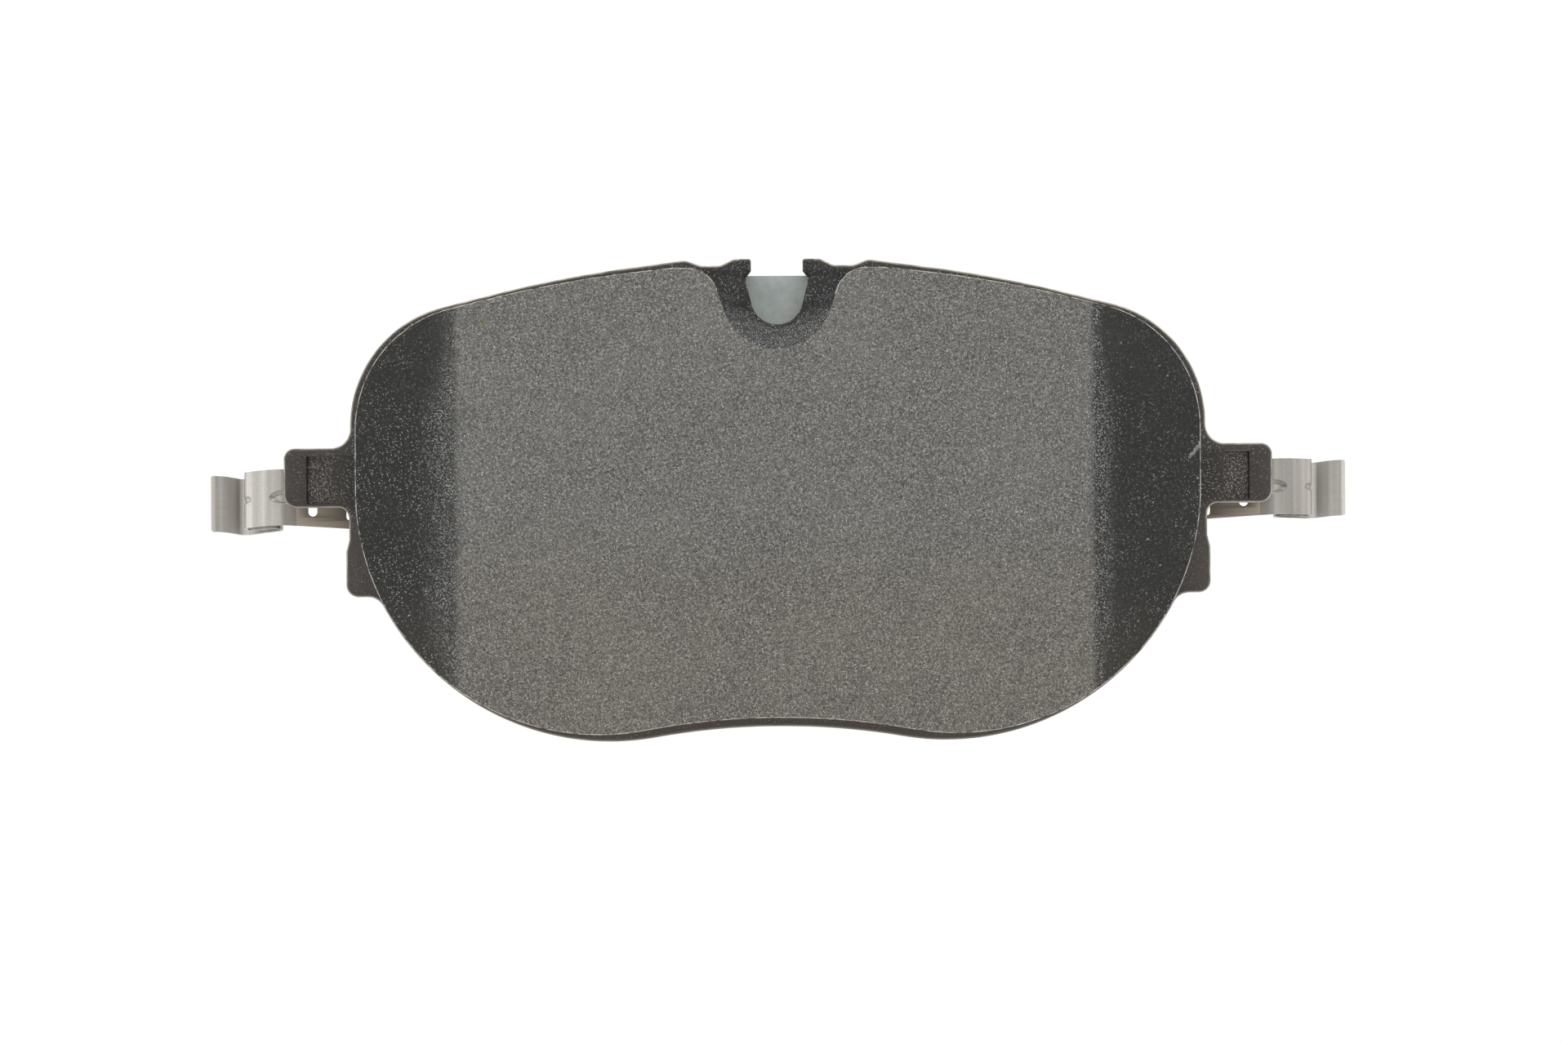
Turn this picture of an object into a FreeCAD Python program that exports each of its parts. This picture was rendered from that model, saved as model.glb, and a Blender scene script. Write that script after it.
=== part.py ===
import FreeCAD, Part
import math
import os
import Sketcher
from FreeCAD import Rotation, Vector

# A disc brake pad with a return spring on each ear. Millimetres.
# X runs from ear to ear, Y radially outward, Z from the caliper side to the disc.
# The origin is the middle of the face that the caliper piston pushes on.

doc = FreeCAD.newDocument("brake_pad")
sheet = doc.addObject("Spreadsheet::Sheet", "dims")

DIMENSIONS = [
    # thicknesses, from the piston face to the disc
    ("coat_thickness", 0.15, "rubber coat on the shim"),
    ("core_thickness", 0.60, "steel core of the shim"),
    ("damper_thickness", 0.35, "damping adhesive between shim and plate"),
    ("plate_thickness", 6.0, "backing plate"),
    ("glue_thickness", 0.15, "bonding adhesive"),
    ("under_thickness", 2.0, "underlayer"),
    ("lining_thickness", 10.3, "friction material"),
    # backing plate
    ("half_length", 82.05, "middle to ear end"),
    ("plate_top", 40.0, "top of the notch lips"),
    ("body_side", 71.0, "middle to the side above the ear"),
    ("lower_side", 71.24, "middle to the side below the ear"),
    ("lug_side", 71.75, "middle to the lug's side"),
    ("lug_bottom", -15.8, "underside of the lug"),
    ("ear_top", 8.95, "upper face of the ear"),
    ("ear_bottom", -0.93, "lower face of the ear"),
    ("ear_corner", 1.8, "upper outer corner radius of the ear"),
    ("ear_low_corner", 2.2, "lower outer corner radius of the ear"),
    ("ear_root", 3.3, "root radius above the ear"),
    ("ear_low_root", 1.8, "root radius below the ear"),
    ("lug_corner", 2.0, "corner radius of the lug"),
    ("lug_root", 3.0, "radius from the lug into the lobe"),
    ("lobe_x", 27.85, "centre of the lower lobe arc"),
    ("lobe_y", 2.77, "centre of the lower lobe arc"),
    ("lobe_radius", 42.8, "lower lobe"),
    ("lobe_slope", 9.8, "degrees where the lobe meets the middle arc"),
    ("lobe_end", 61.0, "degrees where the lobe meets the lug root"),
    ("shoulder_radius", 20.3, "shoulder"),
    ("shoulder_slope", 13.9, "degrees of the top edge at the shoulder"),
    ("bend_x", 36.0, "where the top edge bends"),
    ("bend_y", 37.1, "where the top edge bends"),
    ("crown_slope", 7.5, "degrees of the top edge near the notch"),
    ("crown_radius", 200.0, "bend of the top edge"),
    ("die_roll", 0.45, "rounded front edge of the stamped plate"),
    # notch for a wear sensor clip
    ("notch_mouth", 4.27, "half width between the lips"),
    ("notch_wide", 5.12, "half width below the lips"),
    ("notch_bottom", 29.16, "lowest point of the notch"),
    ("notch_radius", 4.3, "round bottom of the notch"),
    ("notch_taper", 14.0, "degrees of each flank"),
    # half shear on each ear that carries the spring
    ("boss_inner", 73.95, "inner side of the half shear"),
    ("boss_outer", 78.2, "outer side of the half shear"),
    ("boss_low", -0.38, "lower side of the half shear"),
    ("boss_high", 7.72, "upper side of the half shear"),
    ("boss_height", 1.0, "depth in front and height behind"),
    ("stake_reach", 0.45, "staked lips over the spring"),
    ("stake_gap", 0.05, "clearance under the staked lips"),
    # holes that lock the moulded layers to the plate
    ("anchor_radius", 5.0, "anchor hole"),
    ("anchor_x", 24.0, "anchor holes from the middle"),
    ("anchor_high", 10.0, "upper anchor holes"),
    ("anchor_low", -16.0, "lower anchor holes"),
    ("anchor_short", 0.3, "plugs end this far inside the plate"),
    # friction material
    ("lining_margin", 1.75, "plate edge to lining edge at the lobes"),
    ("lining_top_margin", 1.0, "plate edge to lining edge at the top"),
    ("lining_side", 69.7, "middle to the lining's side"),
    ("lining_lobe", 40.3, "lower lobe of the lining"),
    ("lining_shoulder", 20.5, "shoulder of the lining"),
    ("lining_crown_slope", 6.3, "degrees of the lining's top edge near the notch"),
    ("ridge_x", 52.3, "middle to where the end chamfer starts"),
    ("chamfer_angle", 12.0, "degrees of the end chamfers"),
    ("cut_bottom", 24.9, "lowest point of the cut-out at the rubbing face"),
    ("cut_radius", 9.0, "round bottom of the cut-out at the rubbing face"),
    ("cut_flank", 20.0, "degrees of each flank of the cut-out"),
    ("cut_low_radius", 4.9, "round bottom of the cut-out at the underlayer"),
    ("cut_low_bottom", 28.5, "lowest point of the cut-out at the underlayer"),
    ("cut_step", 33.0, "up to here the cut-out's ramp is full"),
    ("cut_upright", 34.5, "above this the flanks of the cut-out stand upright"),
    ("cut_corner", 5.2, "corner between cut-out and top edge"),
    # shim
    ("shim_margin", 2.3, "plate edge to shim edge at the lobes"),
    ("shim_side", 62.6, "middle to the shim's side"),
    ("shim_top", 37.35, "straight top edge of the shim"),
    # return spring
    ("strip_thickness", 0.5, "spring steel"),
    ("strip_low", -3.25, "lower edge of the strip at the reference point"),
    ("right_raise", 0.42, "the right spring sits this much higher"),
    ("left_raise", -0.42, "the left spring sits this much lower"),
    ("strip_width", 9.28, "width of the strip"),
    ("strip_ref", 83.5, "reference point of the strip's edges"),
    ("strip_lead", 3.72, "degrees, edges rise outward"),
    ("right_lean", 8.5, "degrees, right spring's edges drop away from the disc"),
    ("left_lean", 15.0, "degrees, left spring's edges drop away from the disc"),
    ("seat_inner", 64.6, "inner end of the spring seat"),
    ("root_x", 80.8, "flexing line of the spring"),
    ("root_gap", 0.05, "gap at the flexing line"),
    ("slot_clearance", 0.15, "around the half shear"),
    ("relief_width", 1.5, "relief at the corner of the slot"),
    ("relief_low", -1.93, "lowest point of the relief, before the spring is raised"),
    ("finger_width", 1.8, "gripping finger"),
    ("window_inner", 66.4, "inner side of the seat window"),
    ("window_low", -3.0, "lower side of the seat window"),
    ("window_high", 3.6, "upper side of the seat window"),
]
for row, (alias, value, meaning) in enumerate(DIMENSIONS, start=1):
    sheet.set(f"A{row}", alias)
    sheet.set(f"B{row}", str(value))
    sheet.set(f"C{row}", meaning)
    sheet.setAlias(f"B{row}", alias)
doc.recompute()


def dim(alias):
    """The number that a cell of the sheet holds."""
    return float(sheet.get(alias))


# ---------------------------------------------------------------- outlines

def arc_corner(centre, radius, start, end):
    """The corner that an arc rounds off: where the tangents at its two ends meet. Angles in degrees."""
    middle = math.radians((start + end) / 2)
    reach = radius / math.cos(math.radians(end - start) / 2)
    return (centre[0] + reach * math.cos(middle), centre[1] + reach * math.sin(middle), radius)


def meet(point_a, angle_a, point_b, angle_b):
    """Where two lines meet, each given by a point and its angle in degrees."""
    ax, ay = math.cos(math.radians(angle_a)), math.sin(math.radians(angle_a))
    bx, by = math.cos(math.radians(angle_b)), math.sin(math.radians(angle_b))
    dx, dy = point_b[0] - point_a[0], point_b[1] - point_a[1]
    along = (dx * by - dy * bx) / (ax * by - ay * bx)
    return (point_a[0] + along * ax, point_a[1] + along * ay)


def mirrored(half):
    """A closed outline from its right half, which starts and ends on the Y axis."""
    left = [(-x, y, r) for x, y, r in reversed(half) if abs(x) > 1e-9]
    return half + left


def rounded(corners):
    """Lines and tangent arcs round a closed outline, from its corners (x, y, radius).
    Each piece is (geometry, start point number, end point number)."""
    count = len(corners)
    turns = []
    for i, (x, y, radius) in enumerate(corners):
        here = Vector(x, y, 0)
        before = (here - Vector(*corners[i - 1][:2], 0)).normalize()
        after = (Vector(*corners[(i + 1) % count][:2], 0) - here).normalize()
        turn = math.atan2(before.x * after.y - before.y * after.x, before.dot(after))
        reach = radius * math.tan(abs(turn) / 2)
        turns.append((here - before * reach, here + after * reach, before, turn, radius))
    pieces = []
    for i, (start, end, before, turn, radius) in enumerate(turns):
        if radius > 0:
            side = 1 if turn > 0 else -1
            centre = start + Vector(-before.y, before.x, 0) * radius * side
            first, last = (start, end) if side > 0 else (end, start)
            low = math.atan2(first.y - centre.y, first.x - centre.x)
            high = math.atan2(last.y - centre.y, last.x - centre.x)
            high += 2 * math.pi if high < low else 0
            circle = Part.Circle(centre, Vector(0, 0, 1), radius)
            arc = Part.ArcOfCircle(circle, low, high)
            pieces.append((arc, 1, 2) if side > 0 else (arc, 2, 1))
        following = turns[(i + 1) % count][0]
        if (following - end).Length > 1e-3:
            pieces.append((Part.LineSegment(end, following), 1, 2))
    return pieces


def offset_corners(path, distance):
    """The corners of an open path (x, y, radius) moved sideways to its left."""
    moved = []
    for i, (x, y, radius) in enumerate(path):
        here = Vector(x, y, 0)
        before = (here - Vector(*path[i - 1][:2], 0)).normalize() if i else None
        after = (Vector(*path[i + 1][:2], 0) - here).normalize() if i + 1 < len(path) else before
        before = before or after
        turn = math.atan2(before.x * after.y - before.y * after.x, before.dot(after))
        bisector = Vector(-before.y - after.y, before.x + after.x, 0).normalize()
        corner = here + bisector * (distance / math.cos(turn / 2))
        moved.append((corner.x, corner.y, radius - math.copysign(1, turn) * distance if radius else 0))
    return moved


# ---------------------------------------------------------------- features

def new_body(label):
    body = doc.addObject("PartDesign::Body", label)
    body.Label = label
    return body


def new_sketch(body, name, role="XY_Plane", height=None):
    """A sketch on one of the body's origin planes, raised by an expression in the sheet's cells."""
    sketch = body.newObject("Sketcher::SketchObject", name)
    plane = next(f for f in body.Origin.OriginFeatures if f.Role == role)
    sketch.AttachmentSupport = [(plane, "")]
    sketch.MapMode = "FlatFace"
    if height:
        sketch.setExpression("AttachmentOffset.Base.z", height)
    return sketch


def draw(sketch, corners, bound=()):
    """Draws a rounded outline, its pieces tangent to each other. bound lists cells that hold a corner radius:
    each arc of that radius is bound to the cell."""
    pieces = rounded(corners)
    first = sketch.GeometryCount
    sketch.addGeometry([p[0] for p in pieces], False)
    count = len(pieces)
    for i in range(count):
        here, following = pieces[i], pieces[(i + 1) % count]
        smooth = isinstance(here[0], Part.ArcOfCircle) or isinstance(following[0], Part.ArcOfCircle)
        kind = "Tangent" if smooth else "Coincident"
        sketch.addConstraint(
            Sketcher.Constraint(kind, first + i, here[2], first + (i + 1) % count, following[1])
        )
    for alias in bound:
        for i, (shape, _, _) in enumerate(pieces):
            if isinstance(shape, Part.ArcOfCircle) and abs(shape.Radius - dim(alias)) < 1e-6:
                index = sketch.addConstraint(Sketcher.Constraint("Radius", first + i, shape.Radius))
                sketch.setExpression(f"Constraints[{index}]", f"dims.{alias}")
    return sketch


def box_corners(x_low, x_high, y_low, y_high, radius=0.0):
    return [
        (x_low, y_low, radius),
        (x_high, y_low, radius),
        (x_high, y_high, radius),
        (x_low, y_high, radius),
    ]


def feature(body, kind, name, sketch, length=None, down=False, middle=False):
    """A Pad or a Pocket of a sketch, its length bound to an expression in the sheet's cells."""
    made = body.newObject(f"PartDesign::{kind}", name)
    made.Profile = sketch
    if length:
        made.setExpression("Length", length)
    made.Reversed = down
    made.Midplane = middle
    doc.recompute()
    return made


def mirror(body, name, *originals):
    """Copies features to the other side of the YZ plane."""
    made = body.newObject("PartDesign::Mirrored", name)
    made.Originals = list(originals)
    plane = next(f for f in body.Origin.OriginFeatures if f.Role == "YZ_Plane")
    made.MirrorPlane = (plane, [""])
    body.Tip = made
    doc.recompute()
    return made


# Heights of the layers' faces, as expressions and as numbers.
PLATE_BACK = "dims.coat_thickness + dims.core_thickness + dims.damper_thickness"
PLATE_FRONT = f"{PLATE_BACK} + dims.plate_thickness"
GLUE_FRONT = f"{PLATE_FRONT} + dims.glue_thickness"
UNDER_FRONT = f"{GLUE_FRONT} + dims.under_thickness"
plate_back = dim("coat_thickness") + dim("core_thickness") + dim("damper_thickness")
plate_front = plate_back + dim("plate_thickness")
under_front = plate_front + dim("glue_thickness") + dim("under_thickness")
rubbing_face = under_front + dim("lining_thickness")


# ---------------------------------------------------------------- outlines of the layers

def lower_edge(radius):
    """The bottom of a layer, from the middle to the end of the lobe, for a lobe of that radius."""
    centre = (dim("lobe_x"), dim("lobe_y"))
    slope = dim("lobe_slope")
    touch = arc_corner(centre, radius, -90 - slope, -90 - slope)
    middle_y = touch[1] + touch[0] * math.tan(math.radians(slope))
    hollow_radius = touch[0] / math.sin(math.radians(slope)) - 0.4
    return (0, middle_y, hollow_radius), centre


def upper_edge(side, margin):
    """The shoulder and the top edge of a layer, up to near the notch, a margin inside the plate's."""
    bend = (dim("bend_x"), dim("bend_y") - margin)
    shoulder = meet(bend, 180 - dim("shoulder_slope"), (side, 0), 90)
    return (*shoulder, dim("shoulder_radius") - margin), (*bend, dim("crown_radius"))


def plate_outline():
    hollow, centre = lower_edge(dim("lobe_radius"))
    lobe = arc_corner(centre, dim("lobe_radius"), -90 - dim("lobe_slope"), dim("lobe_end") - 90)
    lug_root = meet(lobe[:2], dim("lobe_end"), (0, dim("lug_bottom")), 0)
    shoulder, bend = upper_edge(dim("body_side"), 0)
    crown = meet(bend[:2], 180 - dim("crown_slope"), (15.2, 0), 90)
    taper = math.radians(dim("notch_taper"))
    apex = dim("notch_bottom") + dim("notch_radius") * (1 - 1 / math.sin(taper))
    flank_top = apex + dim("notch_wide") / math.tan(taper)
    top = dim("plate_top")
    half = [
        hollow,
        lobe,
        (*lug_root, dim("lug_root")),
        (dim("lug_side"), dim("lug_bottom"), dim("lug_corner")),
        (dim("lug_side"), -8.2, 1.2),
        (dim("lower_side"), -6.3, 1.2),
        (dim("lower_side"), dim("ear_bottom"), dim("ear_low_root")),
        (dim("half_length"), dim("ear_bottom"), dim("ear_low_corner")),
        (dim("half_length"), dim("ear_top"), dim("ear_corner")),
        (dim("body_side"), dim("ear_top"), dim("ear_root")),
        shoulder,
        bend,
        (*crown, 2.5),
        (12.6, top - 1.1, 2.0),
        (9.4, top - 1.1, 2.0),
        (7.2, top, 1.2),
        (dim("notch_mouth"), top, 0.45),
        (dim("notch_mouth"), top - 2.0, 0.5),
        (dim("notch_wide"), top - 3.1, 0.3),
        (dim("notch_wide"), flank_top, 1.5),
        (0, apex, dim("notch_radius")),
    ]
    return mirrored(half)


def lining_outline():
    """The lining without its cut-out."""
    radius = dim("lobe_radius") - dim("lining_margin")
    hollow, centre = lower_edge(radius)
    lobe = meet(
        arc_corner(centre, radius, -90 - dim("lobe_slope"), -90 - dim("lobe_slope"))[:2],
        -dim("lobe_slope"),
        (dim("lining_side"), 0),
        90,
    )
    shoulder, bend = upper_edge(dim("lining_side"), dim("lining_top_margin"))
    crown = meet(bend[:2], 180 - dim("lining_crown_slope"), (17.4, 0), 90)
    half = [
        hollow,
        (*lobe, dim("lining_lobe")),
        (*shoulder[:2], dim("lining_shoulder")),
        bend,
        (*crown, 25.0),
        (0, crown[1], 0),
    ]
    return mirrored(half)


def cut_outline(level):
    """The cut-out of the lining round the notch, open past the top edge: at the rubbing face (cut), or
    at the underlayer (cut_low), where a ramp is left in its lower half."""
    steep = math.radians(dim("cut_flank"))
    apex = dim("cut_bottom") + dim("cut_radius") * (1 - 1 / math.sin(steep))

    def flank(y):
        return ((y - apex) * math.tan(steep), y, 0)

    if level == "cut":
        foot = [(0, apex, dim("cut_radius")), flank(dim("cut_step"))]
    else:
        taper = math.radians(dim("notch_taper"))
        low_apex = dim("cut_low_bottom") + dim("cut_low_radius") * (1 - 1 / math.sin(taper))
        step_x = (dim("cut_step") - low_apex) * math.tan(taper)
        foot = [(0, low_apex, dim("cut_low_radius")), (step_x, dim("cut_step"), 0)]
    return mirrored(foot + [flank(dim("cut_upright")), flank(dim("plate_top") + 5)])


def shim_outline():
    radius = dim("lobe_radius") - dim("shim_margin")
    hollow, centre = lower_edge(radius)
    lobe = arc_corner(centre, radius, -90 - dim("lobe_slope"), -35)
    side_low = meet(lobe[:2], 55, (dim("shim_side"), 0), 90)
    shoulder = meet((36.0, 34.6), 180 - dim("shoulder_slope"), (dim("shim_side"), 0), 90)
    half = [
        hollow,
        lobe,
        (*side_low, 6.0),
        (*shoulder, 9.0),
        (36.0, 34.6, 120.0),
        (17.0, dim("shim_top"), 6.0),
        (0, dim("shim_top"), 0),
    ]
    return mirrored(half)


# ---------------------------------------------------------------- backing plate

def build_backing_plate():
    body = new_body("backing_plate")
    outline = draw(
        new_sketch(body, "plate_outline", height=PLATE_BACK),
        plate_outline(),
        bound=("lobe_radius", "ear_root", "ear_low_corner", "lug_corner", "lug_root", "notch_radius"),
    )
    blank = feature(body, "Pad", "plate_blank", outline, "dims.plate_thickness")
    blank_volume = blank.Shape.Volume

    rectangle = box_corners(dim("boss_inner"), dim("boss_outer"), dim("boss_low"), dim("boss_high"), 0.3)
    front = draw(new_sketch(body, "recess_outline", height=PLATE_FRONT), rectangle)
    recess = feature(body, "Pocket", "half_shear_recess", front, "dims.boss_height")
    back = draw(new_sketch(body, "boss_outline", height=PLATE_BACK), rectangle)
    boss = feature(body, "Pad", "half_shear_boss", back, "dims.boss_height", down=True)

    reach = dim("stake_reach")
    lip_top = f"{PLATE_BACK} - dims.strip_thickness - dims.stake_gap"
    lips = new_sketch(body, "stake_outline", height=lip_top)
    draw(lips, box_corners(dim("boss_outer") - 0.4, dim("boss_outer") + reach, 2.2, 4.2))
    draw(lips, box_corners(dim("boss_inner") - reach, dim("boss_inner") + 0.4, 2.2, 4.2))
    lip_length = "dims.boss_height - dims.strip_thickness - dims.stake_gap"
    stake = feature(body, "Pad", "stake_lips", lips, lip_length, down=True)

    holes = new_sketch(body, "anchor_circles", height=PLATE_FRONT)
    for level in ("anchor_high", "anchor_low"):
        circle = Part.Circle(Vector(dim("anchor_x"), dim(level), 0), Vector(0, 0, 1), dim("anchor_radius"))
        index = holes.addGeometry(circle)
        size = holes.addConstraint(Sketcher.Constraint("Radius", index, dim("anchor_radius")))
        holes.setExpression(f"Constraints[{size}]", "dims.anchor_radius")
    anchors = feature(body, "Pocket", "anchor_holes", holes, "dims.plate_thickness")
    mirror(body, "other_side", recess, boss, stake, anchors)

    before = body.Tip
    rim = body.newObject("PartDesign::Fillet", "die_roll_edge")
    rim.Base = (before, front_rim(before.Shape))
    rim.setExpression("Radius", "dims.die_roll")
    body.Tip = rim
    doc.recompute()
    assert rim.Shape.Volume < blank_volume
    return body


def front_rim(shape):
    """Names of the edges round the outside of the plate's front face."""
    names = []
    outer = max(
        (f for f in shape.Faces if abs(f.CenterOfMass.z - plate_front) < 1e-3), key=lambda f: f.Area
    ).OuterWire
    for number, edge in enumerate(shape.Edges, start=1):
        if any(edge.isSame(other) for other in outer.Edges):
            names.append(f"Edge{number}")
    return names


# ---------------------------------------------------------------- moulded layers

def build_layer(label, height, thickness):
    """A layer with the lining's outline and the narrower cut-out round the notch."""
    body = new_body(label)
    outline = draw(new_sketch(body, f"{label}_outline", height=height), lining_outline())
    feature(body, "Pad", f"{label}_blank", outline, thickness)
    cut = draw(new_sketch(body, f"{label}_cut", height=height), cut_outline("cut_low"))
    feature(body, "Pocket", f"{label}_cutout", cut, thickness, down=True)
    round_cut_corners(body, f"{label}_corners")
    return body


def round_cut_corners(body, name):
    """Rounds the two upright edges where the cut-out meets the top edge."""
    before = body.Tip
    names = [
        f"Edge{number}"
        for number, edge in enumerate(before.Shape.Edges, start=1)
        if len(edge.Vertexes) == 2
        and edge.BoundBox.ZLength > 0.9 * before.Shape.BoundBox.ZLength
        and 7 < abs(edge.CenterOfMass.x) < 14
        and edge.CenterOfMass.y > 36
    ]
    assert len(names) == 2, names
    fillet = body.newObject("PartDesign::Fillet", name)
    fillet.Base = (before, names)
    fillet.setExpression("Radius", "dims.cut_corner")
    body.Tip = fillet
    doc.recompute()
    return fillet


def build_underlayer():
    body = build_layer("underlayer", GLUE_FRONT, "dims.under_thickness")
    plugs = new_sketch(body, "plug_circles", height=GLUE_FRONT)
    for side in (-1, 1):
        for level in ("anchor_high", "anchor_low"):
            centre = Vector(side * dim("anchor_x"), dim(level), 0)
            plugs.addGeometry(Part.Circle(centre, Vector(0, 0, 1), dim("anchor_radius")))
    depth = "dims.glue_thickness + dims.plate_thickness - dims.anchor_short"
    feature(body, "Pad", "anchor_plugs", plugs, depth, down=True)
    return body


def build_bonding_adhesive():
    body = build_layer("bonding_adhesive", PLATE_FRONT, "dims.glue_thickness")
    holes = new_sketch(body, "adhesive_circles", height=PLATE_FRONT)
    for side in (-1, 1):
        for level in ("anchor_high", "anchor_low"):
            centre = Vector(side * dim("anchor_x"), dim(level), 0)
            holes.addGeometry(Part.Circle(centre, Vector(0, 0, 1), dim("anchor_radius")))
    feature(body, "Pocket", "adhesive_holes", holes, "dims.glue_thickness", down=True)
    return body


def build_friction_lining():
    body = new_body("friction_lining")
    outline = draw(new_sketch(body, "lining_outline", height=UNDER_FRONT), lining_outline())
    feature(body, "Pad", "lining_blank", outline, "dims.lining_thickness")

    cut = body.newObject("PartDesign::SubtractiveLoft", "lining_cutout")
    low = draw(new_sketch(body, "cut_low", height=UNDER_FRONT), cut_outline("cut_low"))
    face = f"{UNDER_FRONT} + dims.lining_thickness"
    high = draw(new_sketch(body, "cut_high", height=face), cut_outline("cut"))
    cut.Profile = low
    cut.Sections = [high]
    cut.Ruled = True
    body.Tip = cut
    doc.recompute()
    round_cut_corners(body, "lining_corners")

    wedge = new_sketch(body, "chamfer_wedge", role="XZ_Plane")
    reach = dim("half_length") - dim("ridge_x")
    drop = reach * math.tan(math.radians(dim("chamfer_angle")))
    draw(
        wedge,
        [
            (dim("ridge_x"), rubbing_face, 0),
            (dim("half_length"), rubbing_face - drop, 0),
            (dim("half_length"), rubbing_face + 1, 0),
            (dim("ridge_x"), rubbing_face + 1, 0),
        ],
    )
    chamfer = feature(body, "Pocket", "end_chamfer", wedge, "4 * dims.plate_top", middle=True)
    mirror(body, "other_chamfer", chamfer)
    return body


# ---------------------------------------------------------------- shim

def build_shim_layer(label, height, thickness):
    body = new_body(label)
    outline = draw(new_sketch(body, f"{label}_outline", height=height), shim_outline())
    feature(body, "Pad", f"{label}_sheet", outline, thickness)
    return body


# ---------------------------------------------------------------- return springs

def strip_edge(x, y_at_reference):
    """Y of one of the strip's two edges behind the ear."""
    lead = math.tan(math.radians(dim("strip_lead")))
    return y_at_reference + lead * (x - dim("strip_ref"))


def build_spring_seat(label, side):
    """The flat part of the spring, held on the half shear behind the ear."""
    body = new_body(label)
    low = dim("strip_low") + dim(f"{side}_raise")
    high = low + dim("strip_width")
    inner = dim("seat_inner")
    outer = dim("root_x") - dim("strip_thickness") / 2 - dim("root_gap")
    left = dim("boss_inner") - dim("slot_clearance")
    right = dim("boss_outer") + dim("slot_clearance")
    relief = right - dim("relief_width")
    bottom = dim("boss_low") - dim("slot_clearance")
    end = dim("relief_width") / 2 - 0.01
    relief_low = dim("relief_low") + dim(f"{side}_raise")
    sketch = new_sketch(body, f"{label}_outline", height=f"{PLATE_BACK} - dims.strip_thickness")
    draw(
        sketch,
        [
            (inner, strip_edge(inner, low), 1.0),
            (outer, strip_edge(outer, low), 0),
            (outer, strip_edge(outer, high), 0),
            (right, strip_edge(right, high), 0.4),
            (right, relief_low, end),
            (relief, relief_low, end),
            (relief, bottom, 0.15),
            (left, bottom, 0.4),
            (left, strip_edge(left, high), 0.4),
            (inner, strip_edge(inner, high), 1.0),
        ],
    )
    window_outer = left - dim("finger_width")
    draw(
        sketch,
        box_corners(dim("window_inner"), window_outer, dim("window_low"), dim("window_high"), 0.5),
    )
    feature(body, "Pad", f"{label}_sheet", sketch, "dims.strip_thickness")
    return body


def arm_centreline():
    """Side view (x, z, bend radius) of the folded arm, from its root to its foot."""
    middle = plate_back - dim("strip_thickness") / 2
    root = dim("root_x")
    return [
        (root - dim("strip_thickness") / 2, middle, 0),
        (root + 1.75, middle, 6.0),
        (root + 8.35, middle - 3.5, 0.8),
        (root + 7.95, middle - 5.1, 0.8),
        (root + 2.6, middle - 3.6, 1.05),
        (root + 2.2, middle - 6.0, 1.05),
        (root + 9.35, middle - 7.85, 1.2),
        (root + 11.7, middle - 6.8, 1.2),
        (root + 13.5, middle - 6.75, 0.9),
        (root + 14.2, middle - 7.05, 0),
    ]


def build_spring_arm(label, side):
    """The folded arm: a bent strip whose two edges lie in slanting planes."""
    half = dim("strip_thickness") / 2
    path = arm_centreline()
    left = offset_corners(path, half)
    right = offset_corners(path, -half)
    root_round = half
    outline = [(*left[0][:2], root_round)] + left[1:]
    outline += list(reversed(right[1:])) + [(*right[0][:2], root_round)]

    folded = doc.addObject("PartDesign::Body", f"{label}_folded")
    sketch = draw(new_sketch(folded, f"{label}_side_view", role="XZ_Plane"), outline)
    feature(folded, "Pad", f"{label}_strip", sketch, "4 * dims.strip_width", middle=True)

    slab = doc.addObject("Part::Box", f"{label}_edges")
    lead, lean = math.radians(dim("strip_lead")), math.radians(dim(f"{side}_lean"))
    normal = Vector(-math.tan(lead), 1, -math.tan(lean))
    upright = 1 / normal.Length
    size = 60
    slab.Length = size
    slab.Height = size
    slab.setExpression("Width", f"dims.strip_width * {upright:.9f}")
    turn = Rotation(Vector(0, 1, 0), normal)
    corner = Vector(dim("strip_ref"), dim("strip_low") + dim(f"{side}_raise"), plate_back - half)
    slab.Placement = FreeCAD.Placement(corner + turn.multVec(Vector(-size / 2, 0, -size / 2)), turn)

    arm = doc.addObject("Part::Common", label)
    arm.Label = label
    arm.Base = folded
    arm.Tool = slab
    doc.recompute()
    return arm


def build_mirror_image(label, source):
    made = doc.addObject("Part::Mirroring", label)
    made.Label = label
    made.Source = source
    made.Normal = Vector(1, 0, 0)
    doc.recompute()
    return made


# ---------------------------------------------------------------- the pad

seat_right = build_spring_seat("spring_seat_right", "right")
arm_right = build_spring_arm("spring_arm_right", "right")
seat_left = build_spring_seat("spring_seat_left_before_mirroring", "left")
arm_left = build_spring_arm("spring_arm_left_before_mirroring", "left")
parts = [
    build_shim_layer("shim_rubber_coat", "0 mm", "dims.coat_thickness"),
    build_shim_layer("shim_steel_core", "dims.coat_thickness", "dims.core_thickness"),
    build_shim_layer(
        "shim_damping_layer", "dims.coat_thickness + dims.core_thickness", "dims.damper_thickness"
    ),
    build_backing_plate(),
    build_bonding_adhesive(),
    build_underlayer(),
    build_friction_lining(),
    seat_right,
    arm_right,
    build_mirror_image("spring_seat_left", seat_left),
    build_mirror_image("spring_arm_left", arm_left),
]
doc.recompute()

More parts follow.
